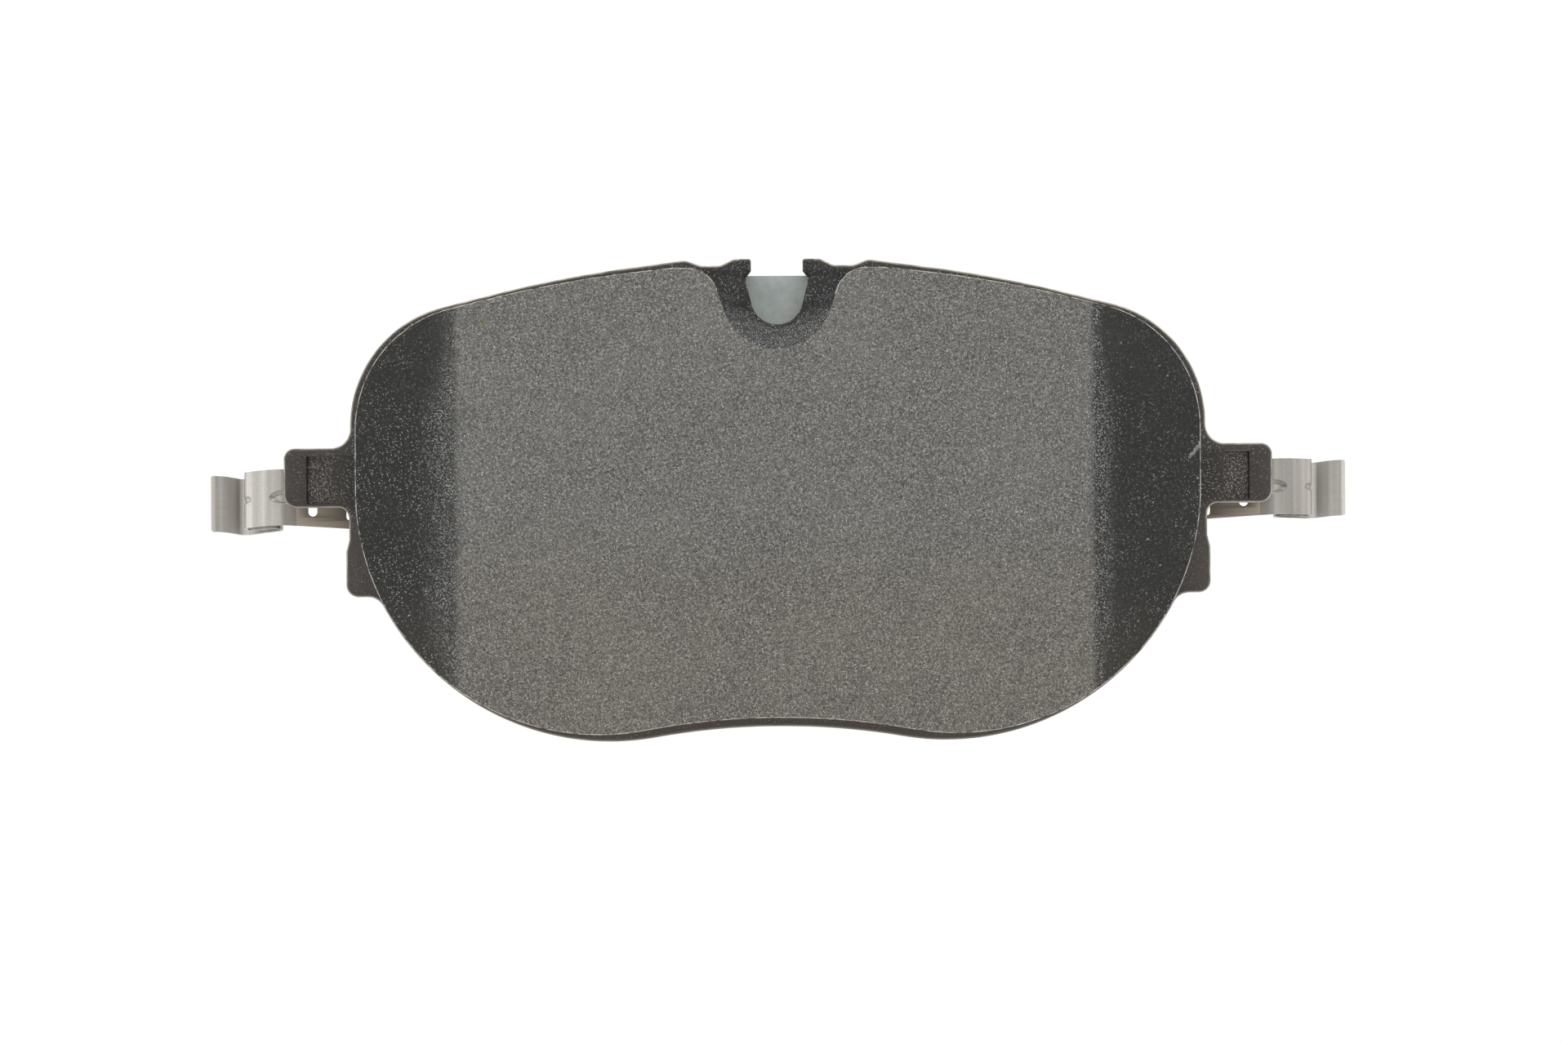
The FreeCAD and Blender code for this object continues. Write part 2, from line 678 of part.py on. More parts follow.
for item in doc.Objects:
    assert not {"Invalid", "Error"} & set(item.State), (item.Name, item.State)
os.makedirs("parts", exist_ok=True)
for part in parts:
    shape = part.Shape
    assert not shape.isNull() and shape.isValid(), part.Label
    assert len(shape.Solids) == 1, (part.Label, len(shape.Solids))
    shape.exportStep(f"parts/{part.Label}.step")
    box = shape.BoundBox
    print(
        f"{part.Label}: {shape.Volume:.1f} mm3, x {box.XMin:.2f} to {box.XMax:.2f},"
        f" y {box.YMin:.2f} to {box.YMax:.2f}, z {box.ZMin:.2f} to {box.ZMax:.2f}"
    )
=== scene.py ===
import math

import bmesh
import bpy
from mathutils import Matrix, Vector, noise
from mathutils.geometry import tessellate_polygon


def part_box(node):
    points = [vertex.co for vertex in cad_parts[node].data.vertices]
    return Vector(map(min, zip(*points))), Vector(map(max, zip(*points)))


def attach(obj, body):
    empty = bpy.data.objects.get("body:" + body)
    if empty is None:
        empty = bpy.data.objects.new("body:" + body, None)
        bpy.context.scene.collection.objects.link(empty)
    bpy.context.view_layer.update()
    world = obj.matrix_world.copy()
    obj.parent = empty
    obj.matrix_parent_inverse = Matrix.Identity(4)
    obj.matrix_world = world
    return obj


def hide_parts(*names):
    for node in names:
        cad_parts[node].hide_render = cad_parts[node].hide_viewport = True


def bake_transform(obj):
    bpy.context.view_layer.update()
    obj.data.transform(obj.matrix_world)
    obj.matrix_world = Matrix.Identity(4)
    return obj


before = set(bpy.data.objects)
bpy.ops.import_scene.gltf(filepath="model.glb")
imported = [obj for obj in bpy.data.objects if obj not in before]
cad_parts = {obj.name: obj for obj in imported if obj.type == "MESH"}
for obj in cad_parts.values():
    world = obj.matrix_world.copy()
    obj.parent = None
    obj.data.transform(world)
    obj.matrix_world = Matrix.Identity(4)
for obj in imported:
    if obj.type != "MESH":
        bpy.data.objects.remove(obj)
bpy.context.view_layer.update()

MM = 0.001

# Heights of the layers' faces in mm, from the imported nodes.
PLATE_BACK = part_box("shim_damping_layer")[1][2] / MM
PLATE_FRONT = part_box("bonding_adhesive")[0][2] / MM
GLUE_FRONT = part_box("bonding_adhesive")[1][2] / MM
UNDER_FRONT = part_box("underlayer")[1][2] / MM
RUBBING_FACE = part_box("friction_lining")[1][2] / MM

# Measures of the outlines in mm and degrees. The plate and the lining are mirrored about X = 0.
RIDGE = 52.3  # where the chamfer at each end of the lining starts
CHAMFER = math.tan(math.radians(12.0))
LOBE = (27.85, 2.77)  # centre of the bulge beside the middle hollow
LOBE_RADIUS = 42.8
LOBE_SLOPE = 9.8  # of the edge from the bulge into the hollow
LOBE_FLANK = 61.0  # of the edge from the bulge up to the abutment land
BEND_X, BEND_Y = 36.0, 37.1  # where the top edge turns down towards the shoulder
PLATE_SIDE = 71.0  # X above the ear
LAND_SIDE, LAND_LOW = 71.75, -15.8
WAIST_SIDE = 71.24  # X between the land and the ear
EAR_TIP, EAR_LOW, EAR_HIGH = 82.05, -0.93, 8.95
STEP_X, STEP_Y = 15.2, 38.9
HORN_Y = 40.0  # the top of the horns beside the notch
NOTCH_MOUTH, NOTCH_HALF = 4.27, 5.12  # half widths
NOTCH_END, NOTCH_RADIUS, NOTCH_FLANK = 29.16, 4.3, 14.0
HALF_SHEAR_X, HALF_SHEAR_Y = (73.95, 78.2), (-0.38, 7.72)
HALF_SHEAR = 1.0  # depth of the recess
BOSS = 0.98  # height of the boss behind it
STAKED_X, STAKED_Y = ((78.15, 78.62), (73.53, 74.0)), (2.2, 4.2)
LINING_SIDE = 69.7
LINING_MARGIN = 1.75  # inside the plate along the lobes
LINING_TOP_MARGIN = 1.0
CUTOUT_BEND, CUTOUT_END, CUTOUT_RADIUS, CUTOUT_FLANK = 17.4, 24.9, 9.0, 20.0
# the cut-out's ramp, at its foot on the underlayer
RAMP_TOP, RAMP_SIDE, RAMP_END, RAMP_RADIUS = 34.5, 33.0, 28.5, 4.9

# Measures of the springs, in the same units.
STRIP = 0.5
STRIP_WIDTH = 9.28
STRIP_RISE = 3.72  # degrees, along the strip
MIDDLE = PLATE_BACK - STRIP / 2
ROOT = 80.8  # X where the arm starts
SEAM = 80.4  # X where the fold's grid meets the seat's outline
SEAT_END = 64.6
TIP_ROUNDING = 0.35

# Measures of the floor in m.
FLOOR_SIZE = 6.0
FLOOR_HEIGHT = -0.0125  # clear of the spring feet at the joints' upper limit


# ------------------------------------------------------------------ outlines

def tan(degrees):
    """Tangent of an angle in degrees."""
    return math.tan(math.radians(degrees))


def line_meet(ax, ay, a_slope, x):
    """Y at x of the line through (ax, ay) with that slope in degrees."""
    return ay + (x - ax) * tan(a_slope)


def bends(corners):
    """(corner, direction in, direction out, turn) for each corner of an outline."""
    found = []
    for i, (x, y, _) in enumerate(corners):
        here = Vector((x, y))
        before = (here - Vector(corners[i - 1][:2])).normalized()
        after = (Vector(corners[(i + 1) % len(corners)][:2]) - here).normalized()
        found.append((here, before, after, math.atan2(before.cross(after), before.dot(after))))
    return found


def rounded(corners, arc_step=4.0, longest=0.8, like=None):
    """Points (x, y) round a closed outline, from its corners (x, y, radius). With like, which is
    another outline's corners, each arc and line gets as many points as that outline's."""
    return walk(corners, divisions(like or corners, arc_step, longest))


def tangents(corners):
    """(arc start, arc end, direction into the corner, turn, radius) for each corner."""
    turns = []
    for (here, before, after, turn), (_, _, radius) in zip(bends(corners), corners):
        reach = radius * math.tan(abs(turn) / 2)
        turns.append((here - before * reach, here + after * reach, before, turn, radius))
    return turns


def divisions(corners, arc_step, longest):
    """(steps on the arc, steps on the line after it) for each corner."""
    turns = tangents(corners)
    counts = []
    for i, (_, end, _, turn, radius) in enumerate(turns):
        by_angle = math.ceil(abs(math.degrees(turn)) / arc_step)
        by_length = math.ceil(abs(turn) * radius / longest)
        arc = max(3, by_angle, by_length) if radius > 0 else 0
        gap = (turns[(i + 1) % len(turns)][0] - end).length
        counts.append((arc, math.ceil(gap / longest) if gap > 1e-4 else 0))
    return counts


def walk(corners, counts):
    """Points along the arcs and lines, with the number of steps that counts gives each."""
    turns = tangents(corners)
    points = []
    for i, ((start, end, before, turn, radius), (arc, line)) in enumerate(zip(turns, counts)):
        if arc:
            centre = start + Vector((-before.y, before.x)) * radius * math.copysign(1, turn)
            arm = start - centre
            for k in range(arc + 1):
                c, s = math.cos(turn * k / arc), math.sin(turn * k / arc)
                points.append((centre.x + arm.x * c - arm.y * s, centre.y + arm.x * s + arm.y * c))
        else:
            points.append((start.x, start.y))
        following = turns[(i + 1) % len(turns)][0]
        for k in range(1, line):
            p = end.lerp(following, k / line)
            points.append((p.x, p.y))
        if not line:
            points.pop()
    return points


def mirrored(half):
    """The whole outline, from its right half."""
    return half + [(-x, y, r) for x, y, r in reversed(half) if abs(x) > 1e-9]


def lobe_touch(radius):
    """Where the middle hollow's tangent line touches a lobe of that radius."""
    angle = math.radians(-90 - LOBE_SLOPE)
    return LOBE[0] + radius * math.cos(angle), LOBE[1] + radius * math.sin(angle)


def hollow(radius):
    """The corner of the middle hollow, whose arc nearly reaches lobes of that radius."""
    x, y = lobe_touch(radius)
    return (0, y + x * tan(LOBE_SLOPE), x / math.sin(math.radians(LOBE_SLOPE)) - 0.4)


def shoulder(side, margin, radius):
    """The shoulder's corner and the bend in the top edge, a margin inside the plate's edge."""
    y = line_meet(BEND_X, BEND_Y - margin, -13.9, side)
    return [(side, y, radius), (BEND_X, BEND_Y - margin, 200.0)]


def wedge_apex(end, radius, flank):
    """Y at which the flanks of a rounded V would meet, when its arc bottoms out at end."""
    return end + radius * (1 - 1 / math.sin(math.radians(flank)))


def plate_outline():
    """The plate's corners (x, y, radius), anticlockwise from the middle hollow."""
    # the lobe runs from its lowest slope round to the flank below the land
    middle = math.radians((-90 - LOBE_SLOPE - (90 - LOBE_FLANK)) / 2)
    reach = LOBE_RADIUS / math.cos(math.radians(LOBE_FLANK + LOBE_SLOPE) / 2)
    lobe = (LOBE[0] + reach * math.cos(middle), LOBE[1] + reach * math.sin(middle), LOBE_RADIUS)
    root_x = lobe[0] + (LAND_LOW - lobe[1]) / tan(LOBE_FLANK)
    half = [hollow(LOBE_RADIUS), lobe]
    # the abutment land, then the ear
    half += [
        (root_x, LAND_LOW, 3.0),
        (LAND_SIDE, LAND_LOW, 2.0),
        (LAND_SIDE, -8.2, 1.2),
        (WAIST_SIDE, -6.3, 1.2),
        (WAIST_SIDE, EAR_LOW, 1.8),
        (EAR_TIP, EAR_LOW, 2.2),
        (EAR_TIP, EAR_HIGH, 1.8),
        (PLATE_SIDE, EAR_HIGH, 3.3),
    ]
    half += shoulder(PLATE_SIDE, 0, 20.3)
    # the step and the horn beside the notch, its mouth, and its wider undercut
    apex = wedge_apex(NOTCH_END, NOTCH_RADIUS, NOTCH_FLANK)
    half += [
        (STEP_X, line_meet(BEND_X, BEND_Y, -7.5, STEP_X), 2.5),
        (12.6, STEP_Y, 2.0),
        (9.4, STEP_Y, 2.0),
        (7.2, HORN_Y, 1.2),
        (NOTCH_MOUTH, HORN_Y, 0.45),
        (NOTCH_MOUTH, 38.0, 0.5),
        (NOTCH_HALF, 36.9, 0.3),
        (NOTCH_HALF, apex + NOTCH_HALF / tan(NOTCH_FLANK), 1.5),
        (0, apex, NOTCH_RADIUS),
    ]
    return mirrored(half)


def lining_outline(low=False):
    """The lining's corners at the rubbing face, or low at the underlayer, where the cut-out's
    ramp ends."""
    radius = LOBE_RADIUS - LINING_MARGIN
    x, y = lobe_touch(radius)
    lobe_y = y - (LINING_SIDE - x) * tan(LOBE_SLOPE)
    half = [hollow(radius), (LINING_SIDE, lobe_y, 40.3)]
    half += shoulder(LINING_SIDE, LINING_TOP_MARGIN, 20.5)
    top = line_meet(BEND_X, BEND_Y - LINING_TOP_MARGIN, -6.3, CUTOUT_BEND)
    apex = wedge_apex(CUTOUT_END, CUTOUT_RADIUS, CUTOUT_FLANK)

    def flank(y):
        return (y - apex) * tan(CUTOUT_FLANK), y, 0

    half += [(CUTOUT_BEND, top, 25.0), (*flank(top)[:2], 5.2), flank(RAMP_TOP)]
    if low:
        low_apex = wedge_apex(RAMP_END, RAMP_RADIUS, NOTCH_FLANK)
        half += [((RAMP_SIDE - low_apex) * tan(NOTCH_FLANK), RAMP_SIDE, 0), (0, low_apex, RAMP_RADIUS)]
    else:
        half += [flank(RAMP_SIDE), (0, apex, CUTOUT_RADIUS)]
    return mirrored(half)


def moved_in(corners, distance):
    """The corners of an outline that lies further in: outer corners get sharper and inner ones
    rounder."""
    moved = []
    for (here, before, after, turn), (_, _, radius) in zip(bends(corners), corners):
        bisector = Vector((-before.y - after.y, before.x + after.x)).normalized()
        corner = here + bisector * (distance / math.cos(turn / 2))
        new_radius = max(0.03, radius - math.copysign(distance, turn)) if radius else 0
        moved.append((corner.x, corner.y, new_radius))
    return moved


# ------------------------------------------------------------------ mesh tools

def normals_2d(points):
    """Outward normal at each point of an anticlockwise outline."""
    found = []
    for i, p in enumerate(points):
        a = Vector(p) - Vector(points[i - 1])
        b = Vector(points[(i + 1) % len(points)]) - Vector(p)
        n = a.normalized() + b.normalized()
        found.append(Vector((n.y, -n.x)).normalized())
    return found


def ring(bm, points, height, inset=0.0, normals=None, wobble=None):
    """A loop of vertices. height is a number or a function of x and y; with normals, inset moves
    each point inward and wobble outward."""
    verts = []
    for i, (x, y) in enumerate(points):
        shift = -inset
        if wobble:
            shift += wobble(x, y)
        if normals:
            x += normals[i].x * shift
            y += normals[i].y * shift
        z = height(x, y) if callable(height) else height
        verts.append(bm.verts.new((x * MM, y * MM, z * MM)))
    return verts


def bridge(bm, low, high, slot=0):
    """Faces between two loops, facing outward when high is above low."""
    count = len(low)
    for i in range(count):
        j = (i + 1) % count
        bm.faces.new((low[i], low[j], high[j], high[i])).material_index = slot


def cap(bm, loops, slot=0, up=True):
    """Fills the region between loops with triangles and returns them."""
    verts = [v for loop in loops for v in loop]
    flat = [[Vector((v.co.x, v.co.y, 0.0)) for v in loop] for loop in loops]
    faces = []
    for corners in tessellate_polygon(flat):
        face = bm.faces.new([verts[i] for i in corners])
        face.material_index = slot
        face.normal_update()
        if (face.normal.z > 0) != up:
            face.normal_flip()
        faces.append(face)
    return faces


def finish_mesh(bm, name, materials, body, replaced, smooth=32.0, level=0.97):
    """Turns a bmesh into a piece of the model. Faces that lie about level are shaded flat."""
    bm.normal_update()
    for face in bm.faces:
        face.smooth = abs(face.normal.z) < level
    mesh = bpy.data.meshes.new(name)
    bm.to_mesh(mesh)
    bm.free()
    mesh.set_sharp_from_angle(angle=math.radians(smooth))
    for m in materials:
        mesh.materials.append(m)
    piece = bpy.data.objects.new(name, mesh)
    bpy.context.scene.collection.objects.link(piece)
    if body:
        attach(piece, body)
    if replaced:
        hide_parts(*replaced)
    return piece


def ripple(x, y, pitch, seed=0.0):
    """Smooth noise from -1 to 1 along an outline, with about that pitch in mm."""
    return noise.noise(Vector((x / pitch, y / pitch, seed)))


# ------------------------------------------------------------------ materials

class Shader:
    """A procedural material built up from noise in the model's own coordinates."""

    def __init__(self, name):
        self.material = bpy.data.materials.new(name)
        self.material.use_nodes = True
        self.tree = self.material.node_tree
        self.tree.nodes.clear()
        self.output = self.add("ShaderNodeOutputMaterial")
        self.surface = self.add("ShaderNodeBsdfPrincipled")
        self.link(self.surface.outputs[0], self.output.inputs[0])
        self.place = self.add("ShaderNodeTexCoord").outputs["Object"]

    def add(self, kind, **settings):
        node = self.tree.nodes.new(kind)
        for key, value in settings.items():
            setattr(node, key, value)
        return node

    def link(self, source, target):
        self.tree.links.new(source, target)

    def put(self, socket, value):
        """Links a socket, or sets a constant."""
        if isinstance(value, bpy.types.NodeSocket):
            self.link(value, socket)
        else:
            socket.default_value = value

    def set(self, **values):
        """Sets the shader's own inputs."""
        names = {"base_color": "Base Color", "specular": "Specular IOR Level"}
        for key, value in values.items():
            self.put(self.surface.inputs[names.get(key, key.capitalize())], value)

    def mapped(self, size, angle=0.0, centre=(0, 0, 0)):
        """Coordinates turned by an angle about Z, then measured in units of size. All lengths in mm."""
        node = self.add("ShaderNodeMapping", vector_type="TEXTURE")
        self.link(self.place, node.inputs["Vector"])
        node.inputs["Location"].default_value = [MM * v for v in centre]
        node.inputs["Rotation"].default_value = (0, 0, math.radians(angle))
        node.inputs["Scale"].default_value = [MM * v for v in size]
        return node.outputs[0]

    def spot(self, centre, size, angle, ragged):
        """One ragged mark: 1 inside, 0 outside."""
        node = self.add("ShaderNodeVectorMath", operation="LENGTH")
        self.link(self.mapped((*size, 50.0), angle, (*centre, 0.0)), node.inputs[0])
        edge = self.math("MULTIPLY_ADD", self.noise(2200, 3, 0.6), ragged * 2, node.outputs["Value"])
        return self.span(edge, 1.0 + ragged, 0.7 + ragged)

    def noise(self, scale, detail, rough, vector=None, warp=0.0):
        """Noise with that many features per metre, or per unit of the vector."""
        node = self.add("ShaderNodeTexNoise")
        self.link(vector or self.place, node.inputs["Vector"])
        node.inputs["Scale"].default_value = scale
        node.inputs["Detail"].default_value = detail
        node.inputs["Roughness"].default_value = rough
        node.inputs["Distortion"].default_value = warp
        return node.outputs[0]

    def cells(self, vector, flat):
        """(distance from the nearest cell's point, two random numbers of the cell)."""
        node = self.add("ShaderNodeTexVoronoi", voronoi_dimensions="2D" if flat else "3D")
        self.link(vector, node.inputs["Vector"])
        node.inputs["Scale"].default_value = 1.0
        split = self.add("ShaderNodeSeparateColor")
        self.link(node.outputs["Color"], split.inputs[0])
        return node.outputs["Distance"], split.outputs[0], split.outputs[1]

    def math(self, operation, a, b=0.0, c=0.0):
        """One arithmetic node."""
        node = self.add("ShaderNodeMath", operation=operation)
        for socket, value in zip(node.inputs, (a, b, c)):
            self.put(socket, value)
        return node.outputs[0]

    def span(self, value, low, high, to_low=0.0, to_high=1.0):
        """Smooth step from to_low at low to to_high at high."""
        node = self.add("ShaderNodeMapRange", interpolation_type="SMOOTHSTEP")
        for socket, v in zip(node.inputs, (value, low, high, to_low, to_high)):
            self.put(socket, v)
        return node.outputs[0]

    def ramp(self, value, *stops):
        """A colour that follows a value through stops (position, colour)."""
        node = self.add("ShaderNodeValToRGB")
        self.link(value, node.inputs[0])
        elements = node.color_ramp.elements
        while len(elements) < len(stops):
            elements.new(0.5)
        for element, (position, color) in zip(elements, stops):
            element.position = position
            element.color = (*color, 1.0)
        return node.outputs[0]

    def mix(self, factor, a, b, blend="MIX"):
        node = self.add("ShaderNodeMix", data_type="RGBA", blend_type=blend)
        self.put(node.inputs["Factor"], factor)
        self.put(node.inputs[6], a if isinstance(a, bpy.types.NodeSocket) else (*a, 1.0))
        self.put(node.inputs[7], b if isinstance(b, bpy.types.NodeSocket) else (*b, 1.0))
        return node.outputs[2]

    def bump(self, height, distance, strength=1.0):
        """Fine relief, from a height and how far 1 of it stands out in metres."""
        node = self.add("ShaderNodeBump")
        self.put(node.inputs["Height"], height)
        node.inputs["Distance"].default_value = distance
        node.inputs["Strength"].default_value = strength
        self.link(node.outputs[0], self.surface.inputs["Normal"])

    def axis(self, name):
        """X, Y or Z in metres."""
        node = self.add("ShaderNodeSeparateXYZ")
        self.link(self.place, node.inputs[0])
        return node.outputs[name]

    def flecks(self, size, spacing, share, stretch, angles, flat=False, faint=0.3, tall=1.0):
        """Short slivers, each lying in one of a few directions. size and spacing are in mm across,
        share is how many cells hold one, faint is the strength of the weakest and tall stretches
        them along Z."""
        total = None
        for k, angle in enumerate(angles):
            pitch = spacing * (0.93 + 0.07 * k)
            centre = (1.37 * k, 0.71 * k, 0.0)
            scale = (pitch * stretch, pitch, pitch * tall)
            distance, pick, glow = self.cells(self.mapped(scale, angle, centre), flat)
            radius = size / 2 / pitch
            growth = 0.6 * radius / share
            over = self.math("MULTIPLY_ADD", pick, growth, radius - growth)
            held = self.math("GREATER_THAN", pick, 1.0 - share)
            one = self.span(self.math("SUBTRACT", over, distance), -0.15 * radius, 0.35 * radius)
            one = self.math("MULTIPLY", one, held)
            one = self.math("MULTIPLY", one, self.math("MULTIPLY_ADD", glow, 1.0 - faint, faint))
            total = one if total is None else self.math("MAXIMUM", total, one)
        return total


def friction_shader():
    """The ground face, medium grey and grainy, and the end chamfers, nearly black with pale
    specks."""
    s = Shader("friction_material")
    grain = s.noise(3300, 4, 0.68, warp=0.3)
    coarse = s.noise(900, 3, 0.6)
    ground, slivers, pits = ground_face(s, grain, coarse)

    # distance past the ridge in mm, positive on the chamfer
    past = s.math("SUBTRACT", s.math("ABSOLUTE", s.axis("X")), RIDGE * MM)
    past = s.math("MULTIPLY", past, 1000.0)
    right = s.span(s.axis("X"), -0.001, 0.001)
    dark, specks = chamfer_face(s, past, right)
    ragged = s.math("ADD", past, s.span(right, 0, 1, -0.25, 0.75))
    ragged = s.math("MULTIPLY_ADD", s.noise(2600, 3, 0.6), 1.8, ragged)
    ragged = s.math("MULTIPLY_ADD", s.noise(160, 3, 0.5), 1.0, ragged)

    s.set(base_color=s.mix(s.span(ragged, 0.9, 2.3), ground, dark), specular=0.28)
    s.set(roughness=s.math("MULTIPLY_ADD", slivers, -0.2, 0.84))
    height = s.math("MULTIPLY_ADD", pits, -1.0, s.math("MULTIPLY_ADD", coarse, 0.6, grain))
    height = s.math("MULTIPLY_ADD", specks, 0.5, height)
    s.bump(height, 0.00007, 0.75)
    return s.material


def ground_face(s, grain, coarse):
    """(colour, pale slivers, pits) of the ground face."""
    color = s.ramp(
        grain,
        (0.30, (0.030, 0.029, 0.027)),
        (0.44, (0.098, 0.096, 0.089)),
        (0.57, (0.176, 0.172, 0.160)),
        (0.70, (0.370, 0.362, 0.336)),
    )
    color = s.mix(s.span(coarse, 0.38, 0.66, 0.0, 0.30), color, (0.105, 0.102, 0.094))
    patches = s.span(s.noise(55, 4, 0.6), 0.38, 0.68, 0.0, 0.20)
    color = s.mix(patches, color, (0.21, 0.20, 0.175))
    slivers = s.flecks(0.11, 0.27, 0.45, 2.8, (12, 57, 101, 148), flat=True, faint=0.15)
    bright = s.flecks(0.22, 1.05, 0.5, 1.9, (35, 80, 170), flat=True, faint=0.1)
    bright = s.math("MULTIPLY", bright, s.span(s.noise(6500, 2, 0.6), 0.38, 0.58, 0.25, 1.0))
    slivers = s.math("MAXIMUM", slivers, bright)
    color = s.mix(s.math("MULTIPLY", slivers, 0.72), color, (0.64, 0.63, 0.60))
    dull = s.flecks(0.17, 0.75, 0.4, 1.6, (65, 125), flat=True, faint=0.2)
    color = s.mix(s.math("MULTIPLY", dull, 0.6), color, (0.045, 0.044, 0.04))
    pits = s.flecks(0.22, 0.6, 0.45, 1.5, (40, 100), flat=True)
    color = s.mix(s.math("MULTIPLY", pits, 0.85), color, (0.028, 0.027, 0.025))
    rust = s.spot((-48.2, 29.4), (1.5, 0.8), 20, ragged=1.2)
    color = s.mix(s.math("MULTIPLY", rust, 0.5), color, (0.17, 0.145, 0.08))
    # the lower half is slightly warmer
    warm = s.mix(1.0, color, (1.0, 0.955, 0.915), "MULTIPLY")
    return s.mix(s.span(s.axis("Y"), 0.004, -0.020), color, warm), slivers, pits


def chamfer_face(s, past, right):
    """(colour, pale specks) of the end chamfers. past is the distance past the ridge in mm, and
    right is 1 at the right end."""
    # specks everywhere, thicker towards the ridge and over a wider band at the left end
    specks = s.flecks(0.15, 0.40, 0.42, 2.3, (15, 63, 108, 150), flat=True, faint=0.2)
    clouds = s.span(s.noise(120, 3, 0.6), 0.38, 0.62, 0.35, 1.0)
    clouds = s.math("MULTIPLY", clouds, s.span(s.axis("Y"), 0.015, 0.027, 1.0, 0.45))
    clouds = s.math("MULTIPLY", clouds, s.span(right, 0, 1, 1.15, 0.75))
    specks = s.math("MULTIPLY", specks, clouds)
    more = s.flecks(0.18, 0.33, 0.75, 2.1, (30, 88, 125, 170), flat=True)
    off_middle = s.math("ABSOLUTE", s.math("ADD", s.axis("Y"), 0.002))
    reach = s.math("MULTIPLY", s.span(right, 0, 1, 7.0, 3.4), s.span(off_middle, 0.016, 0.029, 1.0, 0.4))
    near = s.math("SUBTRACT", 1.0, s.math("DIVIDE", past, reach))
    near = s.math("MINIMUM", s.math("MULTIPLY", s.math("MAXIMUM", near, 0.0), 1.5), 1.0)
    near = s.math("MULTIPLY", near, s.span(s.noise(420, 3, 0.6), 0.34, 0.6, 0.35, 1.0))
    specks = s.math("MAXIMUM", specks, s.math("MULTIPLY", more, near))
    blotches = s.flecks(0.36, 2.6, 0.5, 1.7, (30, 110), flat=True, faint=0.1)
    blotches = s.math("MULTIPLY", blotches, s.span(s.noise(2600, 2, 0.6), 0.40, 0.56, 0.1, 0.75))
    specks = s.math("MAXIMUM", specks, blotches)

    color = s.ramp(s.noise(1900, 4, 0.62), (0.3, (0.020, 0.0195, 0.0185)), (0.7, (0.044, 0.043, 0.041)))
    color = s.mix(s.span(s.noise(38, 3, 0.5), 0.35, 0.65, 0.0, 0.4), color, (0.018, 0.018, 0.018))
    glow = s.math("MULTIPLY", s.span(past, 0.0, 5.5, 0.22, 0.0), s.span(right, 0, 1, 1.0, 0.35))
    color = s.mix(glow, color, (0.12, 0.118, 0.11))
    color = s.mix(s.span(s.axis("Y"), -0.010, -0.028, 0.0, 0.5), color, (0.050, 0.043, 0.033))
    color = s.mix(s.math("MULTIPLY", specks, 0.78), color, (0.48, 0.48, 0.46))
    scuff = s.spot((68.8, 7.8), (2.3, 0.36), 50, ragged=1.3)
    return s.mix(s.math("MULTIPLY", scuff, 0.5), color, (0.36, 0.36, 0.345)), specks


def wall_shader(name, base, light, spacing, tall=1.0, fading=False, size=0.17):
    """The moulded side of the lining and the walls of its cut-out. With fading, the tone darkens and the
    specks thin out towards the ramp's upper end, where the cut-out's flanks turn into it: painted shade,
    darker than the coat beside it, against the light that the tilted ramp catches."""
    s = Shader(name)
    body = s.ramp(s.noise(1500, 5, 0.65), (0.3, base), (0.7, tuple(1.9 * v for v in base)))
    specks = s.flecks(size, spacing, 0.65, 2.0, (10, 55, 100, 145), tall=tall)
    if fading:
        # painted shade towards the ramp's upper end
        low_down = s.span(s.axis("Y"), 0.0334, 0.0285)
        body = s.mix(low_down, (0.008, 0.0078, 0.0075), body)
        specks = s.math("MULTIPLY", specks, s.span(low_down, 0, 1, 0.42, 1.0))
    color = s.mix(s.math("MULTIPLY", specks, 0.7), body, light)
    s.set(base_color=color, specular=0.35, roughness=0.82)
    relief = s.math("ADD", s.noise(1500, 4, 0.7), s.math("MULTIPLY", specks, 0.5))
    s.bump(relief, 0.00012, 0.8)
    return s.material


def rim_shader():
    """The lining's bruised edge, pale in places."""
    s = Shader("lining_rim")
    worn = s.span(s.noise(520, 4, 0.65), 0.34, 0.54)
    pale = s.ramp(s.noise(1400, 3, 0.6), (0.3, (0.24, 0.222, 0.19)), (0.7, (0.60, 0.565, 0.50)))
    s.set(base_color=s.mix(worn, (0.055, 0.052, 0.048), pale), roughness=0.7, specular=0.4)
    s.bump(s.noise(1600, 3, 0.6), 0.00003)
    return s.material


